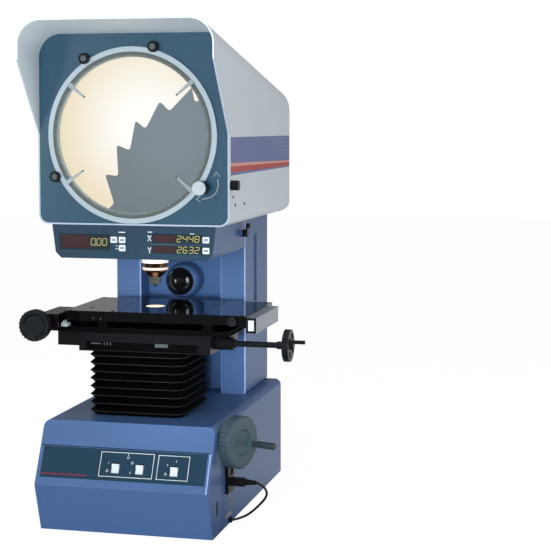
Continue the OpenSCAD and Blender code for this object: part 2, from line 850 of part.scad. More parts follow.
// Screen clamp on the right side of the head
module screen_clamp_knob() {
    color(black) {
        x_rod(clamp_y, clamp_z, head_w / 2 - 2 * shell_t, head_w / 2 + 2, clamp_pin_r);
        difference() {
            x_rod(clamp_y, clamp_z, head_w / 2 + free_gap, head_w / 2 + 16, 10);
            for (i = [0:11])
                translate([head_w / 2 + 3, clamp_y + 10.6 * cos(30 * i), clamp_z + 10.6 * sin(30 * i)])
                    rotate([0, 90, 0]) cylinder(h = 20, r = 1.4);
        }
    }
}

// Turns a profile of radius and height about the optical axis
module optic_turned() {
    translate([0, optic_y, 0]) rotate_extrude() children();
}

lens_bore = lens_r - 9;
lens_collar_h = 20;

// Bayonet flange under the arm that holds the lens
module lens_mount() {
    color(steel) optic_turned() difference() {
        union() {
            translate([0, arm_z - lens_collar_h]) square([lens_r, lens_collar_h]);
            translate([0, arm_z - lens_flange_h]) square([lens_r - 4, lens_flange_h]);
            translate([0, arm_z - lens_flange_h]) square([lens_r - 1, 5]);
        }
        translate([0, arm_z - lens_flange_h - 1]) square([lens_bore, lens_flange_h + 2]);
    }
}

// Lens barrel that tapers to the front element
module lens_barrel() {
    z0 = arm_z - lens_flange_h;
    color("#2B2422") optic_turned() polygon([[0, lens_tip_z + 2], [tip_r - 3, lens_tip_z + 1],
        [tip_r - 3, lens_tip_z], [tip_r, lens_tip_z], [tip_r + 1, lens_tip_z + barrel_l / 2],
        [lens_r - 4, z0 - 4], [lens_r - 4, z0], [0, z0]]);
}

lamp_up = 79;
lamp_front = recess_y - 62;
lamp_body_r = 38;

// Housing of the surface illuminator in the column's recess
module surface_lamp_housing() {
    z = arm_z - lamp_up;
    color(blue) translate([0, recess_y, z]) rotate([90, 0, 0]) rotate_extrude() difference() {
        union() {
            square([lamp_body_r, 44]);
            translate([0, 44]) polygon([[0, 0], [lamp_body_r, 0], [32, 14], [0, 14]]);
        }
        translate([0, 36]) square([26, 40]);
    }
}

// Convex front lens of the surface illuminator in its black rim
module surface_lamp_lens() {
    z = arm_z - lamp_up;
    lens_ball_r = 29;
    color(black) translate([0, recess_y - 58, z]) rotate([90, 0, 0]) rotate_extrude() {
        square([31, 4]);
        translate([0, -20]) square([25.5, 20]);
        intersection() {
            translate([0, -4]) circle(lens_ball_r);
            translate([0, 4]) square([lens_ball_r, lens_ball_r]);
        }
    }
}

bellows_z0 = base_h + free_gap;
bellows_z1 = tray_z - free_gap;
bellows_x = -7.5;
bellows_y = optic_y - 17;

// Outline of the folds, half width h at the tips
module fold_outline(h) {
    p = (bellows_z1 - bellows_z0) / folds;
    right = [for (i = [0:folds - 1])
        each [[h - fold_depth, bellows_z0 + i * p], [h, bellows_z0 + (i + 0.5) * p]]];
    rim = concat(right, [[h - fold_depth, bellows_z1]]);
    polygon(concat(rim, [for (i = [len(rim) - 1:-1:0]) [-rim[i].x, rim[i].y]]));
}

// Folded bellows between the base and the stage
module bellows() {
    hole_w = bellows_w - 2 * fold_depth - 6;
    hole_d = bellows_d - 2 * fold_depth - 6;
    color(black) translate([bellows_x, bellows_y, 0]) difference() {
        intersection() {
            y_prism(-bellows_d, bellows_d) fold_outline(bellows_w / 2);
            x_prism(2 * bellows_w) fold_outline(bellows_d / 2);
        }
        translate([-hole_w / 2, -hole_d / 2, bellows_z0 - 1])
            cube([hole_w, hole_d, bellows_z1 - bellows_z0 + 2]);
    }
}

// Guide bush in the top of the base
module lift_guide() {
    color(steel) optic_turned() difference() {
        union() {
            translate([0, guide_z]) square([guide_r, base_h - guide_z]);
            translate([0, base_h]) square([guide_r + 10, 4]);
        }
        translate([0, guide_z - 1]) square([ram_r + run_gap, base_h]);
    }
}

condenser_r = ram_bore + 2;
condenser_t = 8;
nut_h = 16;
nut_r = 15;

// Hollow lift tube round the light path, with the nut arm at its foot
module lift_tube() {
    arm_a = atan2(lift_screw_y - optic_y, lift_screw_x);
    arm_len = norm([lift_screw_x, lift_screw_y - optic_y]);
    color(steel) difference() {
        union() {
            translate([0, optic_y, ram_z]) cylinder(h = ram_l, r = ram_r);
            translate([0, optic_y, ram_z]) rotate([0, 0, arm_a]) translate([0, -10, 0])
                cube([arm_len, 20, nut_h]);
            translate([lift_screw_x, lift_screw_y, ram_z]) cylinder(h = nut_h, r = nut_r);
        }
        translate([0, optic_y, ram_z - 1]) cylinder(h = ram_l + 2, r = ram_bore);
        translate([0, optic_y, tray_z - 14]) cylinder(h = 15, r = condenser_r + run_gap);
        translate([lift_screw_x, lift_screw_y, ram_z - 1]) cylinder(h = nut_h + 2, r = lift_screw_r + run_gap);
    }
}

// Condenser lens seated in the top of the lift tube
module condenser_lens() {
    color("#CFE0E6") translate([0, optic_y, tray_z - 14]) cylinder(h = condenser_t, r = condenser_r);
}

// Vertical lift screw with its bevel wheel, standing on the bottom plate
module lift_screw() {
    color(steel) translate([lift_screw_x, lift_screw_y, 0]) {
        translate([0, 0, plate_t]) cylinder(h = wheel_c.z - bevel_r - plate_t, r = lift_screw_r);
        translate([0, 0, plate_t]) cylinder(h = 6, r = 14);
        translate([0, 0, wheel_c.z - bevel_r - 8]) cylinder(h = 8, r1 = bevel_r - 0.5, r2 = bevel_r - 8);
    }
}

// Lift handwheel with a fluted rim, its shaft and the shaft's bevel wheel
module lift_wheel() {
    flutes = 36;
    shaft_l = screw_reach - bevel_r;
    color(wheel_grey) at_lift_wheel() difference() {
        union() {
            translate([0, 0, -lift_wheel_t]) cylinder(h = lift_wheel_t - 4, r = lift_wheel_r);
            translate([0, 0, -4]) cylinder(h = 4, r1 = lift_wheel_r, r2 = lift_wheel_r - 4);
            translate([0, 0, -shaft_l]) cylinder(h = shaft_l - 1, r = shaft_r);
            translate([0, 0, -shaft_l]) cylinder(h = 8, r1 = bevel_r - 8, r2 = bevel_r - 0.5);
        }
        translate([0, 0, -4]) cylinder(h = 5, r1 = 24, r2 = 28);
        for (i = [0:flutes - 1])
            rotate([0, 0, 360 * i / flutes]) translate([lift_wheel_r + 1, 0, -lift_wheel_t - 1])
                cylinder(h = lift_wheel_t + 2, r = 2.2);
        translate(handle_at - [0, 0, 16]) cylinder(h = 20, r = handle_pin_r + run_gap);
    }
}

// Revolving grip on the wheel's face
module crank_handle() {
    color(black) at_lift_wheel() translate(handle_at) {
        translate([0, 0, -14]) cylinder(h = 16, r = handle_pin_r);
        translate([0, 0, free_gap]) cylinder(h = 4, r = 5);
        translate([0, 0, free_gap + 4]) cylinder(h = handle_l - 6, r = handle_r);
        translate([0, 0, handle_l - 2 + free_gap]) cylinder(h = 2, r1 = handle_r, r2 = handle_r - 2);
    }
}

// Stage tray: floor with the light opening, two slide ways and the X screw's bearings
module stage_tray() {
    color("#23262B") difference() {
        union() {
            block([tray_x0, tray_y0, tray_z], [tray_x1, tray_y1, tray_z + tray_floor]);
            block([tray_x0, tray_y0, tray_z], [tray_x1, tray_y0 + tray_rail, slide_z]);
            block([tray_x0, tray_y1 - tray_rail, tray_z], [tray_x1, tray_y1, slide_z]);
            block([tray_x0, tray_y0, tray_z], [tray_x0 + 8, tray_y1, x_screw_z + 12]);
            block([tray_x1 - 8, tray_y0, tray_z], [tray_x1, tray_y1, x_screw_z + 12]);
            block([tray_x0 - 56, x_screw_y - 25, x_screw_z - 12], [tray_x0, x_screw_y + 25, slide_z - 2]);
            x_rod(x_screw_y, x_screw_z, tray_x1 - 2, tray_x1 + x_boss_l, x_boss_r);
        }
        translate([0, optic_y, tray_z - 1]) cylinder(h = tray_floor + 2, r = light_r);
        x_rod(x_screw_y, x_screw_z, tray_x0 - 30, tray_x1 + x_boss_l + 1, x_screw_r + run_gap);
        block([tray_x0 + 16, tray_y0 - 1, tray_z + 3], [tray_x1 - 22, tray_y0 + tray_rail - 5, tray_z + 19]);
    }
}

slide_gap = 0.2;
nut_half = 18;

// Cross slide on the tray, with the light slot, the table's rails, a wall behind them and the X nut
module cross_slide() {
    slide_x0 = box_x0;
    slide_x1 = table_x1 - 34;
    slot_x0 = -x_max - light_r - 4;
    slot_x1 = -x_min + light_r + 4;
    z0 = slide_z + slide_gap;
    z1 = slide_z + slide_t;
    color("#2A2D33") difference() {
        union() {
            block([slide_x0, tray_y0 + 4, z0], [slide_x1, tray_y1 - 4, z1]);
            for (x = [slot_x0 - 32, slot_x1 + 12])
                block([x, tray_y0 + 4, z1], [x + 20, tray_y1 - 4, table_z - slide_gap]);
            block([slide_x0 + box_w, tray_y1 - 12, z1 - 1], [slide_x1, tray_y1 - 4, table_z - slide_gap]);
            block([-nut_half, x_screw_y - 13, x_screw_z - 9], [nut_half, x_screw_y + 13, z1]);
        }
        block([slot_x0, optic_y - light_r - 2, slide_z - 1], [slot_x1, optic_y + light_r + 2, table_z]);
        x_rod(x_screw_y, x_screw_z, -nut_half - 1, nut_half + 1, x_screw_r + run_gap);
    }
}

// X feed screw with its handwheel and winding pin
module x_handwheel() {
    x0 = x_wheel_x - x_wheel_t / 2;
    x1 = x_wheel_x + x_wheel_t / 2;
    color(black) difference() {
        union() {
            x_rod(x_screw_y, x_screw_z, tray_x0 - 28, x0, x_screw_r);
            x_rod(x_screw_y, x_screw_z, tray_x1 + x_boss_l + free_gap, tray_x1 + x_boss_l + 6, 9);
            x_rod(x_screw_y, x_screw_z, x0 - 16, x0, 8);
            x_rod(x_screw_y, x_screw_z, x0, x1, x_wheel_r);
            x_rod(x_screw_y, x_screw_z, x1, x1 + 6, 9);
            x_rod(x_screw_y + x_pin_at * cos(x_pin_a), x_screw_z + x_pin_at * sin(x_pin_a), x1 - 1, x1 + 25, 4);
        }
        for (i = [0:3], sx = [0, 1])
            translate([sx ? x1 - 3 : x0 - 1, x_screw_y + 20 * cos(x_pin_a + 45 + 90 * i),
                x_screw_z + 20 * sin(x_pin_a + 45 + 90 * i)])
                rotate([0, 90, 0]) cylinder(h = 4, r = 7);
    }
}

// Housing of the Y feed at the left of the table, open towards it
module y_drive_housing() {
    z0 = slide_z + slide_t;
    color("#34383E") difference() {
        union() {
            block([box_x0, box_y0, z0], [box_x0 + box_w, box_y0 + box_l, z0 + box_h]);
            y_rod(y_screw_x, y_screw_z, box_y0 - y_tube_l, box_y0 + 1, 12);
        }
        block([box_x0 + 4, box_y0 + box_wall, z0 + 3],
            [box_x0 + box_w + 1, box_y0 + box_l - box_wall, z0 + 24]);
        y_rod(y_screw_x, y_screw_z, box_y0 - y_tube_l - 1, box_y0 + box_l - 2, y_screw_r + run_gap);
    }
}

// Y knob with a dished face, its flutes and the feed screw
module y_knob() {
    y1 = box_y0 - y_tube_l - free_gap;
    y0 = y1 - y_knob_l;
    flutes = 24;
    color(black) difference() {
        union() {
            y_rod(y_screw_x, y_screw_z, y0, y1 - 6, y_knob_r);
            y_rod(y_screw_x, y_screw_z, y1 - 7, y1, 14);
            y_rod(y_screw_x, y_screw_z, y1 - 1, box_y0 + box_l - 3, y_screw_r);
        }
        translate([y_screw_x, y0 + 5, y_screw_z]) rotate([90, 0, 0]) cylinder(h = 6, r1 = 20, r2 = 26);
        for (i = [0:flutes - 1])
            translate([y_screw_x + (y_knob_r + 0.8) * cos(360 * i / flutes), y1,
                y_screw_z + (y_knob_r + 0.8) * sin(360 * i / flutes)])
                rotate([90, 0, 0]) cylinder(h = y_knob_l + 1, r = 2);
    }
}

glass_x0 = -x_max - light_r - 12;
glass_x1 = -x_min + light_r + 12;
glass_half = light_r + y_travel / 2 + 12;
ledge = 6;
scale_w = 22;
scale_h = 32;

// Table with its glass opening, the Y nut on its left and the scale bar on its right
module stage_table() {
    color(black) difference() {
        union() {
            block([table_x0, table_y0, table_z], [table_x1, table_y1, stage_z]);
            block([y_screw_x - 9, y_nut_y, y_screw_z - 8], [table_x0 + 1, y_nut_y + y_nut_l, y_screw_z + 8]);
            block([table_x1, table_y0, stage_z - 3 - scale_h],
                [table_x1 + scale_w, table_y1 - 37, stage_z - 3]);
        }
        block([glass_x0 + ledge, table_y - glass_half + ledge, table_z - 1],
            [glass_x1 - ledge, table_y + glass_half - ledge, stage_z + 1]);
        block([glass_x0, table_y - glass_half, stage_z - stage_glass_t],
            [glass_x1, table_y + glass_half, stage_z + 1]);
        y_rod(y_screw_x, y_screw_z, y_nut_y - 1, y_nut_y + y_nut_l + 1, y_screw_r + run_gap);
    }
}

// Glass plate let into the table
module stage_glass() {
    color("#9DB4B8")
        block([glass_x0 + free_gap, table_y - glass_half + free_gap, stage_z - stage_glass_t],
            [glass_x1 - free_gap, table_y + glass_half - free_gap, stage_z]);
}

base_housing();
base_plate();
control_panel();
switch_housings();
contour_switch();
surface_switch();
power_switch();
power_inlet();
cord_plug();
lamp_cord();
cord_gland();
transformer();
lamp_house();
contour_lamp();
fold_mirror();
column_housing();
column_rear_cover();
arm_housing();
display_fascia();
display_windows();
key_count();
key_mode();
key_unit();
key_x();
key_y();
arm_lever();
head_shell();
screen_panel();
head_rear_cover();
upper_mirror_bracket();
upper_mirror();
main_mirror_mount();
main_mirror();
screen_ring();
drive_ring();
ground_glass();
chart_clips();
roller_left();
roller_top();
roller_low();
screen_feed_knob();
screen_clamp_knob();
lens_mount();
lens_barrel();
surface_lamp_housing();
surface_lamp_lens();
bellows();
lift_guide();
lift_tube();
condenser_lens();
lift_screw();
lift_wheel();
crank_handle();
stage_tray();
cross_slide();
x_handwheel();
y_drive_housing();
y_knob();
stage_table();
stage_glass();
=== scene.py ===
import math

import bmesh
import bpy
from mathutils import Matrix, Vector


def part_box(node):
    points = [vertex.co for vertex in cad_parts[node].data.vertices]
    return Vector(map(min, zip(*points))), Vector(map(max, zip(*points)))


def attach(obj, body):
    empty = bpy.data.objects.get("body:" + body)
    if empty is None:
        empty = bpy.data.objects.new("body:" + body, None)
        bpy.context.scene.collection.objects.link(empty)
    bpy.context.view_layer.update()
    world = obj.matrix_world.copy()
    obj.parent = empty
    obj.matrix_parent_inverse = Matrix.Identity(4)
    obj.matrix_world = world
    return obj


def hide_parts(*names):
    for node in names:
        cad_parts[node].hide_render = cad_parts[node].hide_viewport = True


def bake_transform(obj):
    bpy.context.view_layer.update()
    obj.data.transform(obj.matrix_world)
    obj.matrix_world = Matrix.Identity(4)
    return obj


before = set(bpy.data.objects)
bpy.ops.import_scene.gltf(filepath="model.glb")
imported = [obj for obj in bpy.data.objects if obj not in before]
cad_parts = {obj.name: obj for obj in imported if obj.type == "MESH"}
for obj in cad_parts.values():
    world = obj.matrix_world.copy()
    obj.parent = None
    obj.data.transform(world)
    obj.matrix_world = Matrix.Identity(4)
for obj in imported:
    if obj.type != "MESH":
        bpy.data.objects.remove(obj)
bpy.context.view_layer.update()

bl_info = {
    "name": "Optical Comparator",
    "version": (1, 0, 0),
    "blender": (4, 5, 0),
    "location": "View3D > Sidebar > Comparator",
    "description": "Builds the visible finish of a vertical profile projector on its CAD frame",
    "category": "Object",
}

MM = 0.001

# Places that several pieces share, in metres.
SCREEN_Z = 0.792
PANEL_Y = -0.235
FASCIA_Y = -0.235
TABLE_Z = 0.432
TABLE_FRONT = -0.2
TRAY_FRONT = -0.187
HEAD_X = 0.200
BASE_X = 0.180
OPTIC_Y = -0.093

# Directions that several pieces share.
ACROSS, UP, FORWARD = (1, 0, 0), (0, 0, 1), (0, -1, 0)


# Small tools


def srgb(code):
    """Linear colour of an sRGB hex code."""
    parts = [int(code[i:i + 2], 16) / 255 for i in (1, 3, 5)]
    return (*[c / 12.92 if c <= 0.04045 else ((c + 0.055) / 1.055) ** 2.4 for c in parts], 1.0)


def put(tree, kind, settings=None, **inputs):
    """Add a node, set it up, and link or fill its inputs: by number as i0, or by name with _ for a space."""
    node = tree.nodes.new(kind)
    for key, value in (settings or {}).items():
        setattr(node, key, value)
    for key, value in inputs.items():
        numbered = key[0] == "i" and key[1:].isdigit()
        socket = node.inputs[int(key[1:]) if numbered else key.replace("_", " ")]
        if isinstance(value, bpy.types.NodeSocket):
            tree.links.new(value, socket)
        else:
            socket.default_value = value
    return node


def as_colour(given):
    """A linear colour, from a hex code or from one of the settings."""
    return srgb(given) if isinstance(given, str) else tuple(given)


MATERIALS = {}


def new_material(name):
    """Keep an empty material under its name, and return its node tree."""
    material = bpy.data.materials.new(name)
    material.use_nodes = True
    material.node_tree.nodes.clear()
    MATERIALS[name] = material
    return material.node_tree


def close_material(tree, shader):
    """Send a shader to the material's output."""
    put(tree, "ShaderNodeOutputMaterial", Surface=shader.outputs[0])


def surface(name, base, rough, metal=0.0, ior=1.5, grain_mm=1.0, tone=0.04, bump=0.02, coat=0.0,
            spread=0.06, stretch=(1, 1, 1)):
    """An opaque finish: a base colour that varies a little, with a fine grain of a stated size."""
    tree = new_material(name)
    place = put(tree, "ShaderNodeTexCoord").outputs["Object"]
    shaped = put(tree, "ShaderNodeMapping", Vector=place, Scale=stretch).outputs[0]
    grain = put(tree, "ShaderNodeTexNoise", Vector=shaped, Scale=1 / (grain_mm * MM), Detail=3.0)
    grain = grain.outputs[0]
    cloud = put(tree, "ShaderNodeTexNoise", Vector=place, Scale=9.0, Detail=2.0).outputs[0]
    colour = as_colour(base)
    darker = tuple(c * (1 - tone) for c in colour[:3]) + (1,)
    lighter = tuple(min(1, c * (1 + tone)) for c in colour[:3]) + (1,)
    tint = put(tree, "ShaderNodeMix", {"data_type": "RGBA"}, i0=cloud, i6=darker, i7=lighter).outputs[2]
    rough_map = put(tree, "ShaderNodeMapRange", Value=grain, To_Min=max(0, rough - spread),
                    To_Max=min(1, rough + spread))
    relief = put(tree, "ShaderNodeBump", Strength=0.25, Distance=bump * MM, Height=grain)
    shader = put(tree, "ShaderNodeBsdfPrincipled", Base_Color=tint, Roughness=rough_map.outputs[0],
                 Metallic=metal, IOR=ior, Normal=relief.outputs[0], Coat_Weight=coat, Coat_Roughness=0.08)
    close_material(tree, shader)


def ink(name, base, rough=0.6, tone=0.03, ior=1.5):
    """Screen-printed ink: flat and dull."""
    surface(name, base, rough, ior=ior, grain_mm=0.6, tone=tone, bump=0.005)


def turned(name, base, rough, axis_point, axis, ring_mm=0.35):
    """Metal turned on a lathe: fine rings about an axis."""
    tree = new_material(name)
    kind = "ShaderNodeVectorMath"
    place = put(tree, "ShaderNodeTexCoord").outputs["Object"]
    moved = put(tree, kind, {"operation": "SUBTRACT"}, i0=place, i1=axis_point).outputs[0]
    along = put(tree, kind, {"operation": "DOT_PRODUCT"}, i0=moved, i1=axis).outputs["Value"]
    back = put(tree, kind, {"operation": "SCALE"}, i0=axis, Scale=along).outputs[0]
    flat = put(tree, kind, {"operation": "SUBTRACT"}, i0=moved, i1=back).outputs[0]
    radius = put(tree, kind, {"operation": "LENGTH"}, i0=flat).outputs["Value"]
    level = put(tree, "ShaderNodeMath", {"operation": "ADD"}, i0=radius, i1=along).outputs[0]
    rings = put(tree, "ShaderNodeTexNoise", {"noise_dimensions": "1D"}, W=level,
                Scale=1 / (ring_mm * MM), Detail=2.0).outputs[0]
    relief = put(tree, "ShaderNodeBump", Strength=0.2, Distance=0.02 * MM, Height=rings)
    gloss = put(tree, "ShaderNodeMapRange", Value=rings, To_Min=rough - 0.06, To_Max=rough + 0.08)
    shader = put(tree, "ShaderNodeBsdfPrincipled", Base_Color=srgb(base), Metallic=1.0,
                 Roughness=gloss.outputs[0], Normal=relief.outputs[0])
    close_material(tree, shader)


def glowing(name, base, strength, body="#101010"):
    """A lit surface: its own light over a dull body colour."""
    tree = new_material(name)
    shader = put(tree, "ShaderNodeBsdfPrincipled", Base_Color=srgb(body), Roughness=0.45,
                 Emission_Color=as_colour(base), Emission_Strength=strength)
    close_material(tree, shader)


def projected(name, middle, edge, at, near, far, strength):
    """Projected light on ground glass: one colour in the field's middle, another towards its edge."""
    tree = new_material(name)
    place = put(tree, "ShaderNodeTexCoord").outputs["Object"]
    away = put(tree, "ShaderNodeVectorMath", {"operation": "DISTANCE"}, i0=place, i1=at).outputs["Value"]
    share = put(tree, "ShaderNodeMapRange", Value=away, From_Min=near, From_Max=far).outputs[0]
    light = put(tree, "ShaderNodeMix", {"data_type": "RGBA"}, i0=share, i6=as_colour(middle),
                i7=as_colour(edge)).outputs[2]
    shader = put(tree, "ShaderNodeBsdfPrincipled", Base_Color=(0.02, 0.02, 0.02, 1), Roughness=0.6,
                 Emission_Color=light, Emission_Strength=strength)
    close_material(tree, shader)


def clear(name, tint, rough, ior):
    """Thin clear glass: a see-through layer with a surface shine."""
    tree = new_material(name)
    through = put(tree, "ShaderNodeBsdfTransparent", Color=srgb(tint))
    shine = put(tree, "ShaderNodeBsdfPrincipled", Base_Color=srgb(tint), Metallic=1.0, Roughness=rough)
    edge = put(tree, "ShaderNodeFresnel", IOR=ior)
    shader = put(tree, "ShaderNodeMixShader", i0=edge.outputs[0], i1=through.outputs[0], i2=shine.outputs[0])
    close_material(tree, shader)


def mat(name):
    """A finished material by its name."""
    return MATERIALS[name]


def finish_mesh(obj, angle=32):
    """Smooth shading with sharp edges above an angle."""
    obj.data.shade_smooth()
    obj.data.set_sharp_from_angle(angle=math.radians(angle))


def place(obj, body, slot, materials, replaces=()):
    """Hand a finished piece to its body, with its materials, and hide the CAD nodes it stands for. The slot
    is not used.
    """
    obj.data.materials.clear()
    for name in [materials] if isinstance(materials, str) else materials:
        obj.data.materials.append(mat(name))
    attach(obj, body)
    if replaces:
        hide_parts(*replaces)
    return obj


def from_bmesh(name, bm):
    """A linked object made of a bmesh."""
    bmesh.ops.recalc_face_normals(bm, faces=bm.faces)
    data = bpy.data.meshes.new(name)
    bm.to_mesh(data)
    bm.free()
    obj = bpy.data.objects.new(name, data)
    bpy.context.collection.objects.link(obj)
    finish_mesh(obj)
    return obj


def plates(name, outlines, origin, across, up, thick):
    """Thin printed or inlaid shapes: each outline is a closed list of (a, b) points in mm on a plane."""
    bm = bmesh.new()
    across, up = Vector(across).normalized(), Vector(up).normalized()
    out = across.cross(up)
    for outline in outlines:
        low = [bm.verts.new(Vector(origin) + across * a * MM + up * b * MM) for a, b in outline]
        face = bm.faces.new(low)
        pulled = bmesh.ops.extrude_face_region(bm, geom=[face])["geom"]
        top = [item for item in pulled if isinstance(item, bmesh.types.BMVert)]
        bmesh.ops.translate(bm, vec=out * thick * MM, verts=top)
    return from_bmesh(name, bm)


def front_plane(y, z=0):
    """A plane that faces the front: its origin, and the directions across and up."""
    return (0, y, z), ACROSS, UP


def side_plane(x):
    """A plane that faces right: its origin, and the directions across and up."""
    return (x, 0, 0), (0, 1, 0), UP


def inlay(name, outlines, plane, thick, material, body="frame", slot="panel_print"):
    """Thin shapes on a plane, handed to a body: prints, tags and trims."""
    return place(plates(name, outlines, *plane, thick), body, slot, material)


def polar(radius, degrees):
    """A point on a circle about the origin."""
    return radius * math.cos(math.radians(degrees)), radius * math.sin(math.radians(degrees))


def rect(a0, b0, a1, b1):
    """A rectangle's outline."""
    return [(a0, b0), (a1, b0), (a1, b1), (a0, b1)]


def stroke(points, width):
    """Rectangles along a polyline, as printed strokes."""
    out = []
    for (a0, b0), (a1, b1) in zip(points, points[1:]):
        length = math.hypot(a1 - a0, b1 - b0)
        na, nb = -(b1 - b0) / length * width / 2, (a1 - a0) / length * width / 2
        out.append([(a0 - na, b0 - nb), (a1 - na, b1 - nb), (a1 + na, b1 + nb), (a0 + na, b0 + nb)])
    return out


def frame_strip(a0, b0, a1, b1, width):
    """A printed box outline, as four strips that meet at the corners."""
    w = width
    return [rect(a0, b0, a1, b0 + w), rect(a0, b1 - w, a1, b1), rect(a0, b0 + w, a0 + w, b1 - w),
            rect(a1 - w, b0 + w, a1, b1 - w)]


def soften(name, node, width, pick=None, segments=3, angle=25):
    """Copy a CAD node and round its edges: width in mm, pick chooses edges by their two end points."""
    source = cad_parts[node]
    bm = bmesh.new()
    bm.from_mesh(source.data)
    bm.transform(source.matrix_world)
    bmesh.ops.remove_doubles(bm, verts=bm.verts, dist=2e-6)
    bmesh.ops.dissolve_limit(bm, angle_limit=math.radians(0.6), verts=bm.verts, edges=bm.edges)
    chosen = []
    for edge in bm.edges:
        if len(edge.link_faces) == 2 and math.degrees(edge.calc_face_angle(0)) > angle:
            if pick is None or pick(*[v.co / MM for v in edge.verts]):
                chosen.append(edge)
    bmesh.ops.bevel(bm, geom=chosen, offset=width * MM, offset_type="OFFSET", segments=segments, profile=0.5,
                    affect="EDGES", clamp_overlap=True)
    return even_normals(from_bmesh(name, bm))


def baked(obj):
    """A plain mesh of what an object's modifiers give; they are removed."""
    obj.update_tag()
    bpy.context.view_layer.update()
    graph = bpy.context.evaluated_depsgraph_get()
    data = bpy.data.meshes.new_from_object(obj.evaluated_get(graph), preserve_all_data_layers=True,
                                           depsgraph=graph)
    obj.modifiers.clear()
    return data


def even_normals(obj):
    """Weight the normals by face area, so that flat faces stay flat beside rounded edges."""
    modifier = obj.modifiers.new("even", "WEIGHTED_NORMAL")
    modifier.keep_sharp = True
    obj.data = baked(obj)
    obj.data.name = obj.name
    return obj


def revolve(name, profile, centre, axis, steps=96, wave=0.0, waves=0):
    """Turn a closed (radius, height) profile in mm about an axis; wave adds grip flutes to the outer rim."""
    axis = Vector(axis).normalized()
    turn = Vector(UP).rotation_difference(axis).to_matrix()
    bm = bmesh.new()
    rings = []
    top = max(r for r, _ in profile)
    for i in range(steps):
        t = 2 * math.pi * i / steps
        ring = []
        for r, h in profile:
            rr = r - wave * (0.5 + 0.5 * math.cos(waves * t)) if waves and r > top - 1.2 else r
            spot = Vector((rr * math.cos(t), rr * math.sin(t), h))
            ring.append(bm.verts.new(Vector(centre) + turn @ spot * MM))
        rings.append(ring)
    count = len(profile)
    for i in range(steps):
        a, b = rings[i], rings[(i + 1) % steps]
        for k in range(count):
            if profile[k][0] < 1e-6 and profile[(k + 1) % count][0] < 1e-6:
                continue
            bm.faces.new([a[k], b[k], b[(k + 1) % count], a[(k + 1) % count]])
    bmesh.ops.remove_doubles(bm, verts=bm.verts, dist=1e-6)
    bmesh.ops.dissolve_degenerate(bm, edges=bm.edges, dist=1e-7)
    return from_bmesh(name, bm)


def field(kind, label, about, default, **more):
    """A described property."""
    return kind(name=label, description=about, default=default, **more)


# Repeats, made by geometry nodes


def node_tree(name, sockets):
    """A geometry tree with named inputs; returns the tree, its input node and the sockets' identifiers."""
    tree = bpy.data.node_groups.new(name, "GeometryNodeTree")
    tree.interface.new_socket(name="Geometry", in_out="OUTPUT", socket_type="NodeSocketGeometry")
    tree.interface.new_socket(name="Geometry", in_out="INPUT", socket_type="NodeSocketGeometry")
    known = {}
    for label, kind in sockets:
        known[label] = tree.interface.new_socket(name=label, in_out="INPUT", socket_type=kind).identifier
    return tree, put(tree, "NodeGroupInput"), known


def ring_tree():
    """Blocks set out evenly on a circle, each turned to face the centre."""
    tree, inputs, known = node_tree("ring_of_blocks", [
        ("Count", "NodeSocketInt"), ("Radius", "NodeSocketFloat"), ("Block", "NodeSocketVector"),
        ("Finish", "NodeSocketMaterial")])
    given = inputs.outputs
    circle = put(tree, "GeometryNodeMeshCircle", Vertices=given["Count"], Radius=given["Radius"])
    where = put(tree, "GeometryNodeInputPosition")
    facing = put(tree, "FunctionNodeAlignRotationToVector", {"axis": "X"}, Vector=where.outputs[0])
    block = put(tree, "GeometryNodeMeshCube", Size=given["Block"])
    spread = put(tree, "GeometryNodeInstanceOnPoints", Points=circle.outputs[0], Instance=block.outputs[0],
                 Rotation=facing.outputs[0])
    real = put(tree, "GeometryNodeRealizeInstances", Geometry=spread.outputs[0])
    finish = put(tree, "GeometryNodeSetMaterial", Geometry=real.outputs[0], Material=given["Finish"])
    put(tree, "NodeGroupOutput", Geometry=finish.outputs[0])
    return tree, known


def screw_tree():
    """Socket-head screws, one on each point of the given mesh, heads along its Z axis."""
    tree, inputs, known = node_tree("socket_screws", [
        ("Head", "NodeSocketFloat"), ("Height", "NodeSocketFloat"), ("Turn", "NodeSocketRotation"),
        ("Finish", "NodeSocketMaterial")])
    given = inputs.outputs
    head = put(tree, "GeometryNodeMeshCylinder", Vertices=28, Radius=given["Head"], Depth=given["Height"])
    key = put(tree, "ShaderNodeMath", {"operation": "MULTIPLY"}, i0=given["Head"], i1=0.55)
    hexagon = put(tree, "GeometryNodeMeshCylinder", Vertices=6, Radius=key.outputs[0], Depth=given["Height"])
    lift = put(tree, "ShaderNodeMath", {"operation": "MULTIPLY"}, i0=given["Height"], i1=0.45)
    up = put(tree, "ShaderNodeCombineXYZ", Z=lift.outputs[0])
    raised = put(tree, "GeometryNodeTransform", Geometry=hexagon.outputs[0], Translation=up.outputs[0])
    cut = put(tree, "GeometryNodeMeshBoolean", {"operation": "DIFFERENCE"}, Mesh_1=head.outputs[0])
    tree.links.new(raised.outputs[0], cut.inputs["Mesh 2"])
    spread = put(tree, "GeometryNodeInstanceOnPoints", Points=given["Geometry"], Instance=cut.outputs[0],
                 Rotation=given["Turn"])
    real = put(tree, "GeometryNodeRealizeInstances", Geometry=spread.outputs[0])
    finish = put(tree, "GeometryNodeSetMaterial", Geometry=real.outputs[0], Material=given["Finish"])
    put(tree, "NodeGroupOutput", Geometry=finish.outputs[0])
    return tree, known


TREES = {}


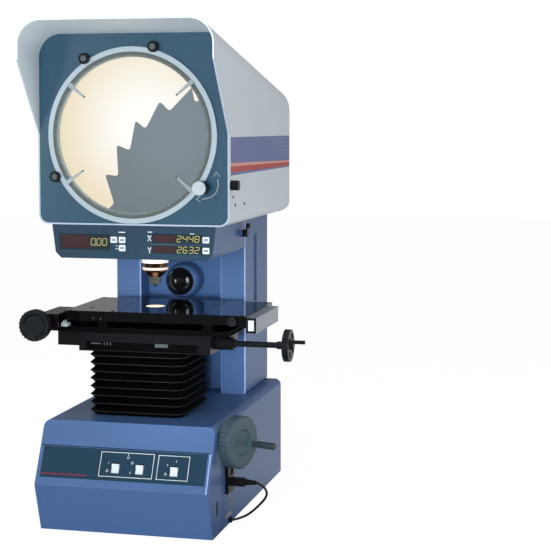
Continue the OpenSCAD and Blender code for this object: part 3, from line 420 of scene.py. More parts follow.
def grown(name, tree_name, points, values, matrix=None):
    """Run a tree on a point mesh and keep the result as a plain mesh object."""
    tree, known = TREES[tree_name]
    seed = bpy.data.meshes.new(name + "_points")
    seed.from_pydata(points, [], [])
    carrier = bpy.data.objects.new(name + "_carrier", seed)
    bpy.context.collection.objects.link(carrier)
    modifier = carrier.modifiers.new("repeat", "NODES")
    modifier.node_group = tree
    for label, value in values.items():
        modifier[known[label]] = value
    data = baked(carrier)
    bpy.data.objects.remove(carrier)
    if matrix is not None:
        data.transform(matrix)
    data.name = name
    if not data.polygons:
        raise RuntimeError(f"{name}: the tree made nothing")
    obj = bpy.data.objects.new(name, data)
    bpy.context.collection.objects.link(obj)
    finish_mesh(obj)
    return obj


def blocks_on_ring(name, count, radius, block, centre, axis, body, slot, material):
    """Count blocks (radial, tangential, axial size in mm) on a circle about an axis."""
    turn = Vector(UP).rotation_difference(Vector(axis).normalized()).to_matrix().to_4x4()
    values = {"Count": count, "Radius": radius * MM, "Block": [b * MM for b in block],
              "Finish": mat(material)}
    return place(grown(name, "ring", [], values, Matrix.Translation(centre) @ turn), body, slot, material)


def screws(name, points, axis, head, height, body, slot, material):
    """Socket-head screws with their seats at the points, in mm, heads along axis."""
    axis = Vector(axis).normalized()
    turn = Vector(UP).rotation_difference(axis).to_euler()
    seats = [Vector(p) * MM + axis * height * MM / 2 for p in points]
    values = {"Head": head * MM, "Height": height * MM, "Turn": turn, "Finish": mat(material)}
    return place(grown(name, "screws", seats, values), body, slot, material)


# Settings


def length_field(label, about, default, least):
    """A described length in metres."""
    return field(bpy.props.FloatProperty, label, about, default, unit="LENGTH", min=least)


def colour_field(label, about, code):
    """A described colour, from its hex code."""
    return field(bpy.props.FloatVectorProperty, label, about, srgb(code), subtype="COLOR", size=4, min=0,
                 max=1)


class ComparatorSettings(bpy.types.PropertyGroup):
    """Sizes and colours that a user would change."""

    base_edge: length_field("Base edge", "Rounding of the base casting's outer edges", 0.005, 0.0005)
    column_edge: length_field("Column edge", "Rounding of the column's outer edges", 0.0045, 0.0005)
    fine_edge: length_field("Fine edge", "Rounding of small machined and moulded edges", 0.0007, 0.0001)
    blue: colour_field("Blue enamel", "Colour of base, column and arm", "#3F5D8A")
    pale: colour_field("Pale enamel", "Colour of the head's shell", "#CED8DE")
    panel: colour_field("Panel enamel", "Colour of the screen panel", "#294A5F")
    light: colour_field("Projected light", "Colour of the lit part of the screen", "#EBDDBC")
    digits: colour_field("Digits", "Colour of the lit display segments", "#CFC77C")
    graduations: field(bpy.props.IntProperty, "Graduations", "Marks around the screen ring", 360, min=12)
    folds: field(bpy.props.IntProperty, "Folds", "Folds of the bellows", 8, min=3)
    cord_width: length_field("Cord", "Diameter of the lamp cord", 0.005, 0.001)


def settings():
    """The scene's settings."""
    return bpy.context.scene.comparator


def soft_nodes(rows):
    """Finish a list of CAD nodes: (node, body, slot, material, rounding in mm, picked edges)."""
    for node, body, slot, material, width, pick in rows:
        place(soften(node + "_finish", node, width, pick), body, slot, material, (node,))


def soft_painted(node, body, slot, width, pick, material, *others, name=None):
    """Finish a CAD node in several materials; each further one tests a face's middle, in mm, and normal."""
    obj = soften(name or node + "_finish", node, width, pick)
    place(obj, body, slot, [material, *[further for further, _ in others]], (node,))
    for polygon in obj.data.polygons:
        for index, (_, test) in enumerate(others, 1):
            if test(polygon.center / MM, polygon.normal):
                polygon.material_index = index


def paint_nodes(material, slot, *nodes):
    """Give CAD nodes that keep their own mesh a material."""
    for node in nodes:
        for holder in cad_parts[node].material_slots:
            holder.material = mat(material)


class COMPARATOR_OT_finishes(bpy.types.Operator):
    """Make the materials and the repeat trees"""

    bl_idname = "comparator.finishes"
    bl_label = "Finishes"

    def execute(self, context):
        TREES["ring"] = ring_tree()
        TREES["screws"] = screw_tree()
        self.enamels(settings())
        self.prints()
        self.mouldings()
        self.metals()
        self.cloth_and_light(settings())
        return {"FINISHED"}

    def enamels(self, s):
        """Baked enamel: even, half gloss, a faint orange peel."""
        surface("blue enamel", s.blue, 0.42, grain_mm=1.6, tone=0.05, bump=0.03)
        surface("pale enamel", s.pale, 0.45, grain_mm=1.6, tone=0.02, bump=0.03)
        # A darker pale for the faces under the hood's roof: painted shade.
        surface("hood underside shade", "#7B8591", 0.5, grain_mm=1.6, tone=0.02, bump=0.03)
        surface("lip enamel", "#A3B0C4", 0.45, grain_mm=1.6, tone=0.02, bump=0.03)
        surface("panel enamel", s.panel, 0.26, grain_mm=1.2, tone=0.05, bump=0.03)
        # A lighter blue for rounded edges: a painted highlight.
        surface("edge enamel", "#93AADA", 0.22, grain_mm=1.6, tone=0.03, bump=0.02)
        # A darker blue: painted shade on the column's groove bottoms, and the colour of the base's side
        # seams.
        surface("shade enamel", "#2F5080", 0.6, grain_mm=1.6, tone=0.05, bump=0.02)
        surface("fascia enamel", "#17364A", 0.5, grain_mm=1.2, tone=0.05, bump=0.02)
        surface("wheel enamel", "#394C56", 0.4, grain_mm=1.0, tone=0.05, bump=0.03)
        # Black enamel: deep, with a clear highlight; the matt one gives hardly any.
        surface("black enamel", "#101014", 0.3, ior=1.3, grain_mm=1.2, tone=0.1, bump=0.01)
        surface("matt black", "#08080A", 0.85, ior=1.08, grain_mm=1.2, tone=0.1, bump=0.02)
        surface("black gloss", "#08090B", 0.06, grain_mm=3.0, tone=0.1, bump=0.0, spread=0.02)

    def prints(self):
        """The control slope's film, and the inks."""
        surface("printed film", "#193548", 0.55, ior=1.3, grain_mm=0.8, tone=0.03, bump=0.01)
        ink("white print", "#C9D1D5", tone=0.02)
        ink("red print", "#B0504C")
        ink("plum print", "#5F2A40", ior=1.3)
        ink("pink print", "#D79A92")
        ink("violet print", "#6C75A0", rough=0.55, tone=0.04)
        ink("grey print", "#8F98A8")
        ink("dim print", "#4A5054", ior=1.3)
        ink("faint print", "#98A3A2")

    def mouldings(self):
        """Moulded plastics: a soft highlight and a fine mould grain."""
        surface("black plastic", "#131418", 0.38, ior=1.28, grain_mm=0.7, tone=0.08, bump=0.02)
        surface("knob plastic", "#14181C", 0.36, ior=1.35, grain_mm=0.7, tone=0.06, bump=0.02)
        surface("grip plastic", "#2E3A40", 0.4, grain_mm=0.8, tone=0.05, bump=0.02)
        surface("white plastic", "#C2CBD3", 0.4, grain_mm=0.7, tone=0.02, bump=0.01)
        surface("window plastic", "#1E2A30", 0.3, ior=1.3, grain_mm=0.8, tone=0.05, bump=0.0)
        surface("filter red", "#362227", 0.4, ior=1.3, grain_mm=1.4, tone=0.2, bump=0.0)

    def metals(self):
        """Bare, plated and turned metals; the lower the metal share, the more an oxide or lacquer shows."""
        surface("bright steel", "#D5D8DA", 0.2, metal=1.0, grain_mm=0.4, tone=0.03, bump=0.01)
        surface("ring alloy", "#A3B4BF", 0.42, metal=0.3, grain_mm=0.5, tone=0.02, bump=0.01)
        surface("scale alloy", "#9AA2AA", 0.4, metal=0.5, grain_mm=0.4, tone=0.04, bump=0.01,
                stretch=(1, 0.05, 1))
        surface("plate steel", "#8E9499", 0.45, metal=0.8, grain_mm=0.8, tone=0.05, bump=0.02)
        surface("core iron", "#5B5148", 0.6, metal=0.3, grain_mm=1.0, tone=0.08, bump=0.03)
        surface("lamp sheet", "#A9ADB0", 0.5, metal=0.7, grain_mm=0.8, tone=0.05, bump=0.02)
        surface("mirror", "#EDF0F0", 0.04, metal=1.0, grain_mm=2.0, tone=0.0, bump=0.0, spread=0.02)
        surface("band grey", "#535C5A", 0.55, metal=0.2, grain_mm=0.5, tone=0.05, bump=0.01)
        surface("clip steel", "#9AA5AA", 0.4, metal=0.4, grain_mm=0.5, tone=0.03, bump=0.01)
        surface("knob face", "#B8C4CC", 0.4, metal=0.4, grain_mm=0.5, tone=0.05, bump=0.01)
        surface("dark turned", "#4A5048", 0.4, metal=0.3, grain_mm=0.5, tone=0.1, bump=0.02)
        lens_middle = (0, OPTIC_Y, 0.5)
        turned("copper glow", "#B98A78", 0.3, lens_middle, UP)
        turned("lens brown", "#5A4230", 0.35, lens_middle, UP)

    def cloth_and_light(self, s):
        """Cloth and rubber, glass, and what is lit from within."""
        surface("bellows cloth", "#040405", 0.7, ior=1.12, grain_mm=0.6, tone=0.15, bump=0.08)
        # A lighter grey for the fold crests: a painted highlight.
        surface("ridge highlight", "#303236", 0.5, ior=1.3, grain_mm=0.8, tone=0.25, bump=0.05)
        surface("cord rubber", "#17171A", 0.5, grain_mm=0.5, tone=0.1, bump=0.02)
        surface("lens black", "#0A0B0D", 0.05, ior=1.52, grain_mm=3.0, tone=0.0, bump=0.0, coat=1.0,
                spread=0.02)
        clear("clear glass", "#E4EEEA", 0.02, 1.52)
        surface("ground glass", "#B8C0BE", 0.5, grain_mm=0.3, tone=0.01, bump=0.01)
        projected("lit image", "#FFFEFA", s.light, (0.03, -0.229, 0.81), 0.05, 0.19, 0.97)
        projected("shadow image", "#7A8790", "#68757C", (0.08, -0.229, 0.81), 0.05, 0.25, 0.9)
        glowing("lit digits", s.digits, 1.0, "#4A4820")
        glowing("warm light", "#FFF3DC", 1.0, "#907850")
        # Turned lens rings that catch the surface light, so they look lit.
        glowing("lens cream", "#F0D6CA", 0.3, "#E0C6BA")
        glowing("lens white", "#FFF6F0", 0.35, "#EDE4DE")


# Camera fitted to the photograph: place in metres, angles in degrees, sizes in mm and in picture widths.
CAMERA_AT = (0.9619, -3.0170, 0.8346)
CAMERA_DOWN = 3.72
CAMERA_TURN = 13.51
CAMERA_LENS = 96.03
CAMERA_SENSOR = 36
PICTURE_SIDE = 551
PICTURE_SHIFT = -66

# Lamps: name, place, aim, width, height (both 0 for a spot), watts, and whether gloss shows it.
LAMPS = (
    ("key", (-0.9, -3.5, 1.5), (0, 0, 0.6), 2.4, 2.4, 32, False),
    ("front", (0.3, -3.4, 0.6), (0, 0, 0.5), 1.8, 1.0, 84, False),
    ("recess", (0.62, -2.5, 0.5), (0.0, 0.14, 0.36), 0, 0, 200, False),
    ("right window", (3.0, -0.7, 0.75), (0, 0, 0.5), 1.2, 2.6, 42, True),
    ("left window", (-2.15, -3.3, 0.95), (0, 0, 0.8), 0.8, 1.0, 18, True),
    ("top", (0.0, -0.6, 3.2), (0, 0, 0.6), 2.6, 2.6, 20, True))
SPOT_ANGLE = 9.5
SPOT_BLEND = 0.5
SPOT_RADIUS = 0.12

FLOOR_RADIUS = 9
FLOOR_DROP = 0.0002


class COMPARATOR_OT_stage(bpy.types.Operator):
    """Set the camera at the photograph's angle, with a pale floor and soft studio light"""

    bl_idname = "comparator.stage"
    bl_label = "Stage"

    def execute(self, context):
        context.scene.view_settings.view_transform = "Standard"
        context.scene.world = self.studio()
        objects = [self.camera(), self.floor(), *[self.lamp(*row) for row in LAMPS]]
        context.scene.camera = objects[0]
        return {"FINISHED"}

    def linked(self, name, data):
        """A new object in the scene."""
        obj = bpy.data.objects.new(name, data)
        bpy.context.collection.objects.link(obj)
        return obj

    def camera(self):
        """The camera as fitted to the photograph."""
        eye = bpy.data.cameras.new("camera")
        eye.sensor_width = CAMERA_SENSOR
        eye.lens = CAMERA_LENS
        eye.shift_y = PICTURE_SHIFT / PICTURE_SIDE
        eye.clip_end = 50
        camera = self.linked("camera", eye)
        camera.location = CAMERA_AT
        camera.rotation_euler = (math.radians(90 - CAMERA_DOWN), 0, math.radians(CAMERA_TURN))
        return camera

    def studio(self):
        """White to the eye, a soft room to everything else, lighter behind than in front in reflections."""
        world = bpy.data.worlds.new("studio")
        world.use_nodes = True
        tree = world.node_tree
        tree.nodes.clear()
        ray = put(tree, "ShaderNodeLightPath").outputs
        seen = put(tree, "ShaderNodeMath", {"operation": "MAXIMUM"}, i0=ray["Is Camera Ray"],
                   i1=ray["Is Transmission Ray"])
        white = put(tree, "ShaderNodeBackground", Color=(1, 1, 1, 1), Strength=1.0)
        way = put(tree, "ShaderNodeSeparateXYZ", Vector=put(tree, "ShaderNodeTexCoord").outputs["Generated"])
        room = put(tree, "ShaderNodeMapRange", Value=way.outputs["Y"], From_Min=-0.3, From_Max=0.3,
                   To_Min=0.09, To_Max=0.36)
        level = put(tree, "ShaderNodeMix", i0=ray["Is Glossy Ray"], i2=0.28, i3=room.outputs[0])
        soft = put(tree, "ShaderNodeBackground", Color=(0.95, 0.97, 1, 1), Strength=level.outputs[0])
        mixed = put(tree, "ShaderNodeMixShader", i0=seen.outputs[0], i1=soft.outputs[0], i2=white.outputs[0])
        put(tree, "ShaderNodeOutputWorld", Surface=mixed.outputs[0])
        return world

    def floor(self):
        """A pale floor that keeps the shadow; in reflections it is darker in front than behind."""
        tree = new_material("pale floor")
        ray = put(tree, "ShaderNodeLightPath").outputs
        seen = put(tree, "ShaderNodeMath", {"operation": "MULTIPLY"}, i0=ray["Is Camera Ray"], i1=0.86)
        matt = put(tree, "ShaderNodeBsdfDiffuse", Color=(0.5, 0.5, 0.5, 1))
        glow = put(tree, "ShaderNodeEmission", Color=(1, 1, 1, 1), Strength=1.12)
        shown = put(tree, "ShaderNodeMixShader", i0=seen.outputs[0], i1=matt.outputs[0], i2=glow.outputs[0])
        where = put(tree, "ShaderNodeSeparateXYZ", Vector=put(tree, "ShaderNodeTexCoord").outputs["Object"])
        level = put(tree, "ShaderNodeMapRange", Value=where.outputs["Y"], From_Min=-0.2, From_Max=0.3,
                    To_Min=0.08, To_Max=0.85)
        sheen = put(tree, "ShaderNodeEmission", Color=(1, 1, 1, 1), Strength=level.outputs[0])
        close_material(tree, put(tree, "ShaderNodeMixShader", i0=ray["Is Glossy Ray"], i1=shown.outputs[0],
                                 i2=sheen.outputs[0]))
        bm = bmesh.new()
        bmesh.ops.create_circle(bm, cap_ends=True, segments=96, radius=FLOOR_RADIUS)
        floor = from_bmesh("floor", bm)
        floor.location.z = -FLOOR_DROP
        floor.data.materials.append(mat("pale floor"))
        return floor

    def lamp(self, name, at, aim, wide, high, watts, mirrored):
        """An area lamp, or a spot where it has no width."""
        light = bpy.data.lights.new(name, "AREA" if wide else "SPOT")
        light.energy = watts
        if wide:
            light.shape = "RECTANGLE"
            light.size = wide
            light.size_y = high
        else:
            light.spot_size = math.radians(SPOT_ANGLE)
            light.spot_blend = SPOT_BLEND
            light.shadow_soft_size = SPOT_RADIUS
        obj = self.linked(name, light)
        obj.location = at
        obj.visible_camera = False
        obj.visible_glossy = mirrored
        obj.rotation_euler = (Vector(aim) - Vector(at)).to_track_quat("-Z", "Y").to_euler()
        return obj


# The cord's route from plug to gland, in mm, as the photograph shows it.
CORD_POINTS = [
    (240, -176, 90), (246, -174.5, 87.5), (251, -171, 83), (254, -164, 77), (255.3, -156, 69.5),
    (254.5, -148.5, 61), (251, -142, 53), (246, -137, 45.5), (240, -133, 38.5), (233.5, -130, 31.5),
    (227, -128.5, 25), (220.5, -128.5, 19), (214, -130, 13.8), (208, -133.5, 10), (203, -138.5, 8.2),
    (199, -144.5, 7.6), (196, -151, 7.5), (193, -157.5, 7.6), (190, -163, 8), (186, -167, 8)]


class COMPARATOR_OT_cord(bpy.types.Operator):
    """Lay the short lamp cord from its plug to the gland"""

    bl_idname = "comparator.cord"
    bl_label = "Cord"

    def execute(self, context):
        width = settings().cord_width
        points = [Vector(p) * MM for p in CORD_POINTS]
        curve = bpy.data.curves.new("lamp_cord_run", "CURVE")
        curve.dimensions = "3D"
        curve.bevel_depth = width / 2
        curve.bevel_resolution = 5
        curve.use_fill_caps = True
        line = curve.splines.new("POLY")
        line.points.add(len(points) - 1)
        for point, co in zip(line.points, points):
            point.co = (*co, 1)
        cord = bpy.data.objects.new("lamp_cord_run", curve)
        context.collection.objects.link(cord)
        curve.materials.append(mat("cord rubber"))
        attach(cord, "frame")
        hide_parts("lamp_cord")
        plug = soften("cord_plug_finish", "cord_plug", 1.0)
        place(plug, "frame", "black_plastic", "black plastic", ("cord_plug",))
        return {"FINISHED"}


# Which edges are rounded and which faces get another finish, all in mm


def at_least(least):
    """A test for edges that are at least that long."""
    return lambda a, b: (a - b).length >= least


def at_x(a, b, x):
    """Whether an edge lies on the outer faces at plus and minus x."""
    return abs(abs(a.x) - x) < 0.1 and abs(abs(b.x) - x) < 0.1


def base_edges(a, b):
    """The base casting's outer edges, without the connector's opening."""
    in_opening = all(-212 < v.y < -140 and 55 < v.z < 140 for v in (a, b))
    brow = all(abs(v.z - 172) < 1 for v in (a, b))
    return at_x(a, b, 180) and at_least(30)(a, b) and not in_opening and not brow


def column_edges(a, b):
    """The column's outer edges and the recess's front edges, without the side grooves."""
    in_groove = all(150 < v.y < 190 and v.z < 600 for v in (a, b))
    recess = at_x(a, b, 92) and max(a.y, b.y) < 84
    return at_least(30)(a, b) and not in_groove and (at_x(a, b, 148.5) or recess)


def base_glint(c, n):
    """The base's rounded right edge beside the control slope, painted lighter as a highlight."""
    return 176.2 < c.x < 179.9 and 96 < c.z < 172 and c.y < -278


def column_glint(c, n):
    """The column's rounded front edges beside the recess and at the right, painted lighter as a highlight."""
    return 83.05 < c.y < 87.45 and (92.05 < abs(c.x) < 95 or 145.3 < c.x < 148.45)


def column_groove_shade(c, n):
    """The bottoms of the grooves in the column's sides, painted darker as shade."""
    return 146 < abs(c.x) < 148 and 156 < c.y < 186 and c.z < 600


class COMPARATOR_OT_castings(bpy.types.Operator):
    """Round the edges of base, column and arm, and finish the covers and the inside"""

    bl_idname = "comparator.castings"
    bl_label = "Castings"

    def execute(self, context):
        s = settings()
        fine = s.fine_edge / MM
        soft_nodes([
            ("arm_housing", "frame", "blue_paint", "blue enamel", 2.0, at_least(20)),
            ("column_rear_cover", "frame", "blue_paint", "blue enamel", fine, at_least(3)),
            ("head_rear_cover", "frame", "pale_paint", "pale enamel", fine, at_least(3)),
            ("power_inlet", "frame", "black_plastic", "black plastic", 1.2, None),
            ("cord_gland", "frame", "black_plastic", "black plastic", fine, None),
            ("arm_lever", "lever", "black_plastic", "black plastic", fine, None)])
        # Edges that face the light get the painted highlight enamel; the column's groove bottoms get painted
        # shade.
        soft_painted("base_housing", "frame", "blue_paint", s.base_edge / MM, base_edges, "blue enamel",
                     ("edge enamel", base_glint))
        soft_painted("column_housing", "frame", "blue_paint", s.column_edge / MM, column_edges, "blue enamel",
                     ("edge enamel", column_glint), ("shade enamel", column_groove_shade))
        self.side_fittings()
        paint_nodes("plate steel", "plate_steel", "base_plate", "lift_guide", "lift_tube", "lift_screw")
        paint_nodes("black plastic", "black_plastic", "switch_housings")
        paint_nodes("core iron", "core_iron", "transformer")
        paint_nodes("lamp sheet", "lamp_sheet", "lamp_house", "upper_mirror_bracket", "main_mirror_mount")
        paint_nodes("white plastic", "white_plastic", "contour_lamp")
        paint_nodes("mirror", "mirror", "fold_mirror", "upper_mirror", "main_mirror")
        return {"FINISHED"}

    def side_fittings(self):
        """Seams, cap, slot and screws on the base's right side."""
        for name, outlines, material in (
                ("side_seams", [rect(-228, 6, -226.8, 196), rect(-210, 6, -208.8, 196)], "shade enamel"),
                ("side_cap", [rect(-264, 42, -253, 68)], "black plastic"),
                ("side_slot", [rect(-196, 16, -150, 23.5)], "lamp sheet")):
            inlay(name, outlines, side_plane(BASE_X), 0.4, material)
        spots = [(180, -187.6, 68.3), (180, -168.5, 59.3), (180, -153.1, 42.9), (180, -168.6, 40.7)]
        screws("side_screws", spots, ACROSS, 4.0, 1.6, "frame", "bright_steel", "bright steel")


class COMPARATOR_OT_head(bpy.types.Operator):
    """Finish the hooded shell and its panel, and lay the stripes along the right side"""

    bl_idname = "comparator.head"
    bl_label = "Head"

    def execute(self, context):
        fine = settings().fine_edge / MM
        soft_nodes([("screen_clamp_knob", "clamp_knob", "black_plastic", "black plastic", fine, None)])
        # Faces under the hood's roof are painted darker as shade.
        soft_painted("head_shell", "frame", "pale_paint", 1.0, at_least(3), "pale enamel",
                     ("hood underside shade", lambda c, n: n.z < -0.5 and c.z > 950 and c.y < PANEL_Y / MM),
                     ("lip enamel", lambda c, n: n.y < -0.7 and c.z < 900))
        paint_nodes("panel enamel", "panel_paint", "screen_panel")
        side = side_plane(HEAD_X)
        bands = {
            "violet print": [(-223, 738), (289, 728), (289, 785), (-223, 789)],
            "pink print": [(-223, 731), (289, 724.4), (289, 728), (-223, 738)],
            "red print": [(-223, 719), (289, 716), (289, 724.4), (-223, 731)]}
        for number, (material, outline) in enumerate(bands.items()):
            inlay(f"side_band_{number}", [outline], side, 0.15, material)
        under = [(-223, 713), (289, 713.5), (289, 716), (-223, 719)]
        inlay("side_under_line", [under], side, 0.15, "violet print")
        spots = [(200, -190, 653), (200, -119.5, 652), (200, -206.7, 670)]
        screws("side_head_screws", spots, ACROSS, 3.0, 1.0, "frame", "black_plastic", "knob plastic")
        starts = ((70, 779), (110, 770), (150, 762), (190, 752), (215, 741))
        lines = [rect(y, z, 288, z + 1.4) for y, z in starts]
        inlay("side_fine_lines", lines, side_plane(HEAD_X + 0.15 * MM), 0.1, "grey print")
        return {"FINISHED"}


def eased(points, cut):
    """Round the inner corners of a polyline, starting cut mm before each."""
    out = [points[0]]
    for before, here, after in zip(points, points[1:], points[2:]):
        ends = []
        for other in (before, after):
            length = math.hypot(other[0] - here[0], other[1] - here[1])
            k = min(0.45, cut / length)
            ends.append((here[0] + (other[0] - here[0]) * k, here[1] + (other[1] - here[1]) * k))
        (a0, b0), (a1, b1) = ends
        for s in (0, 0.25, 0.5, 0.75, 1):
            u, v, w = (1 - s) ** 2, 2 * s * (1 - s), s * s
            out.append((u * a0 + v * here[0] + w * a1, u * b0 + v * here[1] + w * b1))
    return out + [points[-1]]


def on_screen(radius, degrees, y):
    """A point in mm at a depth, a radius and an angle about the screen's middle."""
    a, b = polar(radius, degrees)
    return a, y, SCREEN_Z / MM + b


# The ring's front face in metres, the glass's radius in mm, and where the clips and rollers sit in degrees.
RING_Y = -0.240
GLASS_RADIUS = 155.6
CLIP_ANGLES = (40, 142, 215, 319)
ROLLER_ANGLES = (122.5, 75, 207.4)

# A clip's blade and root: radius and half width, in mm.
CLIP_BLADE = [(122, 1.6), (157, 3.6), (166, 4.2)]
CLIP_ROOT = [(157.2, 4.6), (166.8, 4.6)]

# The projected shadow's toothed edge and the lit wedge beside it, in mm from the screen's middle.
SHADOW_EDGE = [(124, 96), (76, 48), (56, 68), (26, 13), (5, 30), (-7, -30), (-35, -19), (-32, -82),
               (-60, -78), (-41, -137), (-52, -147)]
WEDGE = [(126, 94), (123, 92), (128, 68), (134, 67), (139, 71), (127, 94)]

# The printed arrow that shows how the screen turns, in mm from the screen's middle.
TURN_LINE = [(176.5, -86), (177.8, -97), (176, -106.5), (171.2, -115), (163, -121), (152.5, -124),
             (145, -125.5)]
TURN_HEADS = ([(168, -80.5), (174.3, -72), (181, -80.5)], [(140, -119.5), (132.5, -125.5), (141.5, -130)])


class COMPARATOR_OT_screen(bpy.types.Operator):
    """Finish the screen ring and its marks, the glass and its image, clips, rollers and feed knob"""

    bl_idname = "comparator.screen"
    bl_label = "Screen"

    def execute(self, context):
        fine = settings().fine_edge / MM
        soft_nodes([
            ("screen_ring", "screen", "ring_metal", "ring alloy", 0.8, None),
            ("roller_left", "left_roller", "black_plastic", "black plastic", fine, None),
            ("roller_top", "top_roller", "black_plastic", "black plastic", fine, None),
            ("roller_low", "low_roller", "black_plastic", "black plastic", fine, None)])
        paint_nodes("ground glass", "ground_glass", "ground_glass")
        paint_nodes("black plastic", "black_plastic", "drive_ring")
        self.graduations(settings().graduations)
        self.clips()
        pins = [on_screen(181.3, t, -247) for t in ROLLER_ANGLES]
        screws("roller_screws", pins, FORWARD, 6.0, 1.4, "frame", "black_plastic", "band grey")
        self.image()
        arrow = stroke(TURN_LINE, 1.4)
        for head in TURN_HEADS:
            arrow += stroke(head, 1.0)
        inlay("turn_arrow", arrow, front_plane(PANEL_Y, SCREEN_Z), 0.12, "faint print")
        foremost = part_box("screen_feed_knob")[0].y / MM
        soft_painted("screen_feed_knob", "feed_knob", "bright_steel", fine, None, "black plastic",
                     ("knob face", lambda c, n: c.y < foremost + 1.5), name="feed_knob_finish")
        return {"FINISHED"}

    def graduations(self, count):
        """The grey band on the ring, with a mark a step and a longer one every ten."""
        band = revolve("ring_band", [(156.3, 0), (166, 0), (166, 0.25), (156.3, 0.25)], (0, RING_Y, SCREEN_Z),
                       FORWARD, 180)
        place(band, "screen", "ring_metal", "band grey")
        face = (0, RING_Y - 0.35 * MM, SCREEN_Z)
        for name, number, radius, block in (
                ("ring_marks", count, 158.0, (2.4, 0.6, 0.2)),
                ("ring_tens", count // 10, 159.2, (4.8, 0.8, 0.24))):
            blocks_on_ring(name, number, radius, block, face, FORWARD, "screen", "panel_print", "faint print")

    def clips(self):
        """The four chart clips with their roots and pads."""
        blades, roots = [], []
        for angle in CLIP_ANGLES:
            c, d = polar(1, angle)
            for outlines, half in ((blades, CLIP_BLADE), (roots, CLIP_ROOT)):
                points = [(r, -w) for r, w in half] + [(r, w) for r, w in reversed(half)]
                outlines.append([(r * c - w * d, r * d + w * c) for r, w in points])
        clips = plates("chart_clips_finish", blades, *front_plane(RING_Y - 1.8 * MM, SCREEN_Z), 1.2)
        place(clips, "screen", "bright_steel", "clip steel", ("chart_clips",))
        inlay("clip_roots", roots, front_plane(RING_Y - 0.2 * MM, SCREEN_Z), 2.6, "clip steel", "screen",
              "bright_steel")
        tips = [on_screen(125, t, -243) for t in CLIP_ANGLES]
        screws("clip_pads", tips, FORWARD, 1.5, 0.6, "screen", "black_plastic", "black plastic")

    def image(self):
        """The lit field, the shadow of a toothed workpiece over it, and the lit wedge."""
        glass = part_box("ground_glass")[0].y
        disc = [polar(GLASS_RADIUS, t) for t in range(0, 360, 3)]
        shadow = eased(SHADOW_EDGE, 7) + [polar(GLASS_RADIUS, t) for t in range(254, 396, 4)]
        for name, outline, lift, material in (
                ("image_light", disc, 0.05, "lit image"),
                ("image_shadow", shadow, 0.2, "shadow image"),
                ("image_wedge", eased(WEDGE, 3), 0.35, "lit image")):
            plane = front_plane(glass - lift * MM, SCREEN_Z)
            inlay(name, [outline], plane, 0.1, material, slot="ground_glass")


# Segments of a display digit, as strokes on a cell one wide and two high, and the digits made of them.
SEGMENTS = {"a": ((0, 2), (1, 2)), "b": ((1, 2), (1, 1)), "c": ((1, 1), (1, 0)), "d": ((0, 0), (1, 0)),
            "e": ((0, 1), (0, 0)), "f": ((0, 2), (0, 1)), "g": ((0, 1), (1, 1))}
DIGITS = {"0": "abcdef", "1": "bc", "2": "abged", "3": "abgcd", "4": "fgbc", "5": "afgcd", "6": "afgedc",
          "7": "abc", "8": "abcdefg", "9": "abcfgd"}
SEGMENT_GAP = 0.09
SEGMENT_WIDTH = 1.15

KEYS = ("count", "mode", "unit", "x", "y")


def digits(text, left, low, width, height, pitch, lean=1.2):
    """Outlines of a row of seven-segment digits; a point takes no cell of its own."""
    out = []
    at = left
    for sign in text:
        if sign == ".":
            out.append(rect(at - pitch + width + 1.2, low - 0.6, at - pitch + width + 2.6, low + 0.8))
            continue
        for name in DIGITS[sign]:
            ends = [(at + u * width + v / 2 * lean, low + v / 2 * height) for u, v in SEGMENTS[name]]
            (a0, b0), (a1, b1) = ends
            da, db = (a1 - a0) * SEGMENT_GAP, (b1 - b0) * SEGMENT_GAP
            out += stroke([(a0 + da, b0 + db), (a1 - da, b1 - db)], SEGMENT_WIDTH)
        at += pitch
    return out


class COMPARATOR_OT_display(bpy.types.Operator):
    """Finish the display fascia, its windows with lit digits, and the five keys"""

    bl_idname = "comparator.display"
    bl_label = "Display"

    def execute(self, context):
        fine = settings().fine_edge / MM
        soft_nodes([("display_fascia", "frame", "panel_paint", "fascia enamel", 0.8, at_least(4))])
        soft_nodes([(f"key_{name}", f"{name}_key", "white_plastic", "white plastic", fine, None)
                    for name in KEYS])
        paint_nodes("window plastic", "window_plastic", "display_windows")
        window = front_plane(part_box("display_windows")[0].y)
        filters = [rect(-153, 565, -92, 590.5), rect(43, 580, 88, 594.5), rect(43, 558.5, 88, 571)]
        inlay("display_filters", filters, window, 0.05, "filter red", slot="window_plastic")
        shown = digits("0.00", -89, 571, 8.5, 13.5, 12.2)
        shown += digits("2448", 92, 581, 8.2, 12, 12.3) + digits("2632", 92, 559, 8.2, 12, 12.3)
        inlay("display_digits", shown, window, 0.1, "lit digits", slot="window_plastic")
        self.fascia_prints()
        for name in KEYS:
            lo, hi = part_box(f"key_{name}")
            a, b = (lo.x + hi.x) / 2 / MM, (lo.z + hi.z) / 2 / MM
            bars = [rect(a - 4.4, b + 0.5, a + 4.4, b + 2.0), rect(a - 4.4, b - 2.0, a + 4.4, b - 0.5)]
            inlay(f"key_{name}_mark", bars, front_plane(lo.y), 0.08, "dim print", f"{name}_key")
        return {"FINISHED"}

    def fascia_prints(self):
        """The two axis letters, small dashes and the line between the rows."""
        marks = []
        for line in (((31.3, 581), (38.3, 593)), ((38.3, 581), (31.3, 593)), ((34.8, 557), (34.8, 563.2)),
                     ((34.8, 562.6), (31.6, 569)), ((34.8, 562.6), (38, 569))):
            marks += stroke(line, 1.6)
        marks += [rect(-36, 570, -32, 571.2), rect(-37, 564, -31, 565.2), rect(-30, 597, -16, 599),
                  rect(31.5, 598.5, 41, 600.3), rect(119, 596.6, 128, 598.2)]
        inlay("fascia_marks", marks, front_plane(FASCIA_Y), 0.1, "white print")
        inlay("row_divider", [rect(41, 574.2, 91, 575.6)], front_plane(FASCIA_Y), 0.1, "dim print")


# The control slope's foot, in metres, and the way it rises.
SLOPE_FOOT = (0, -0.322, 0.098)
SLOPE_RISE = (0, 37, 74)


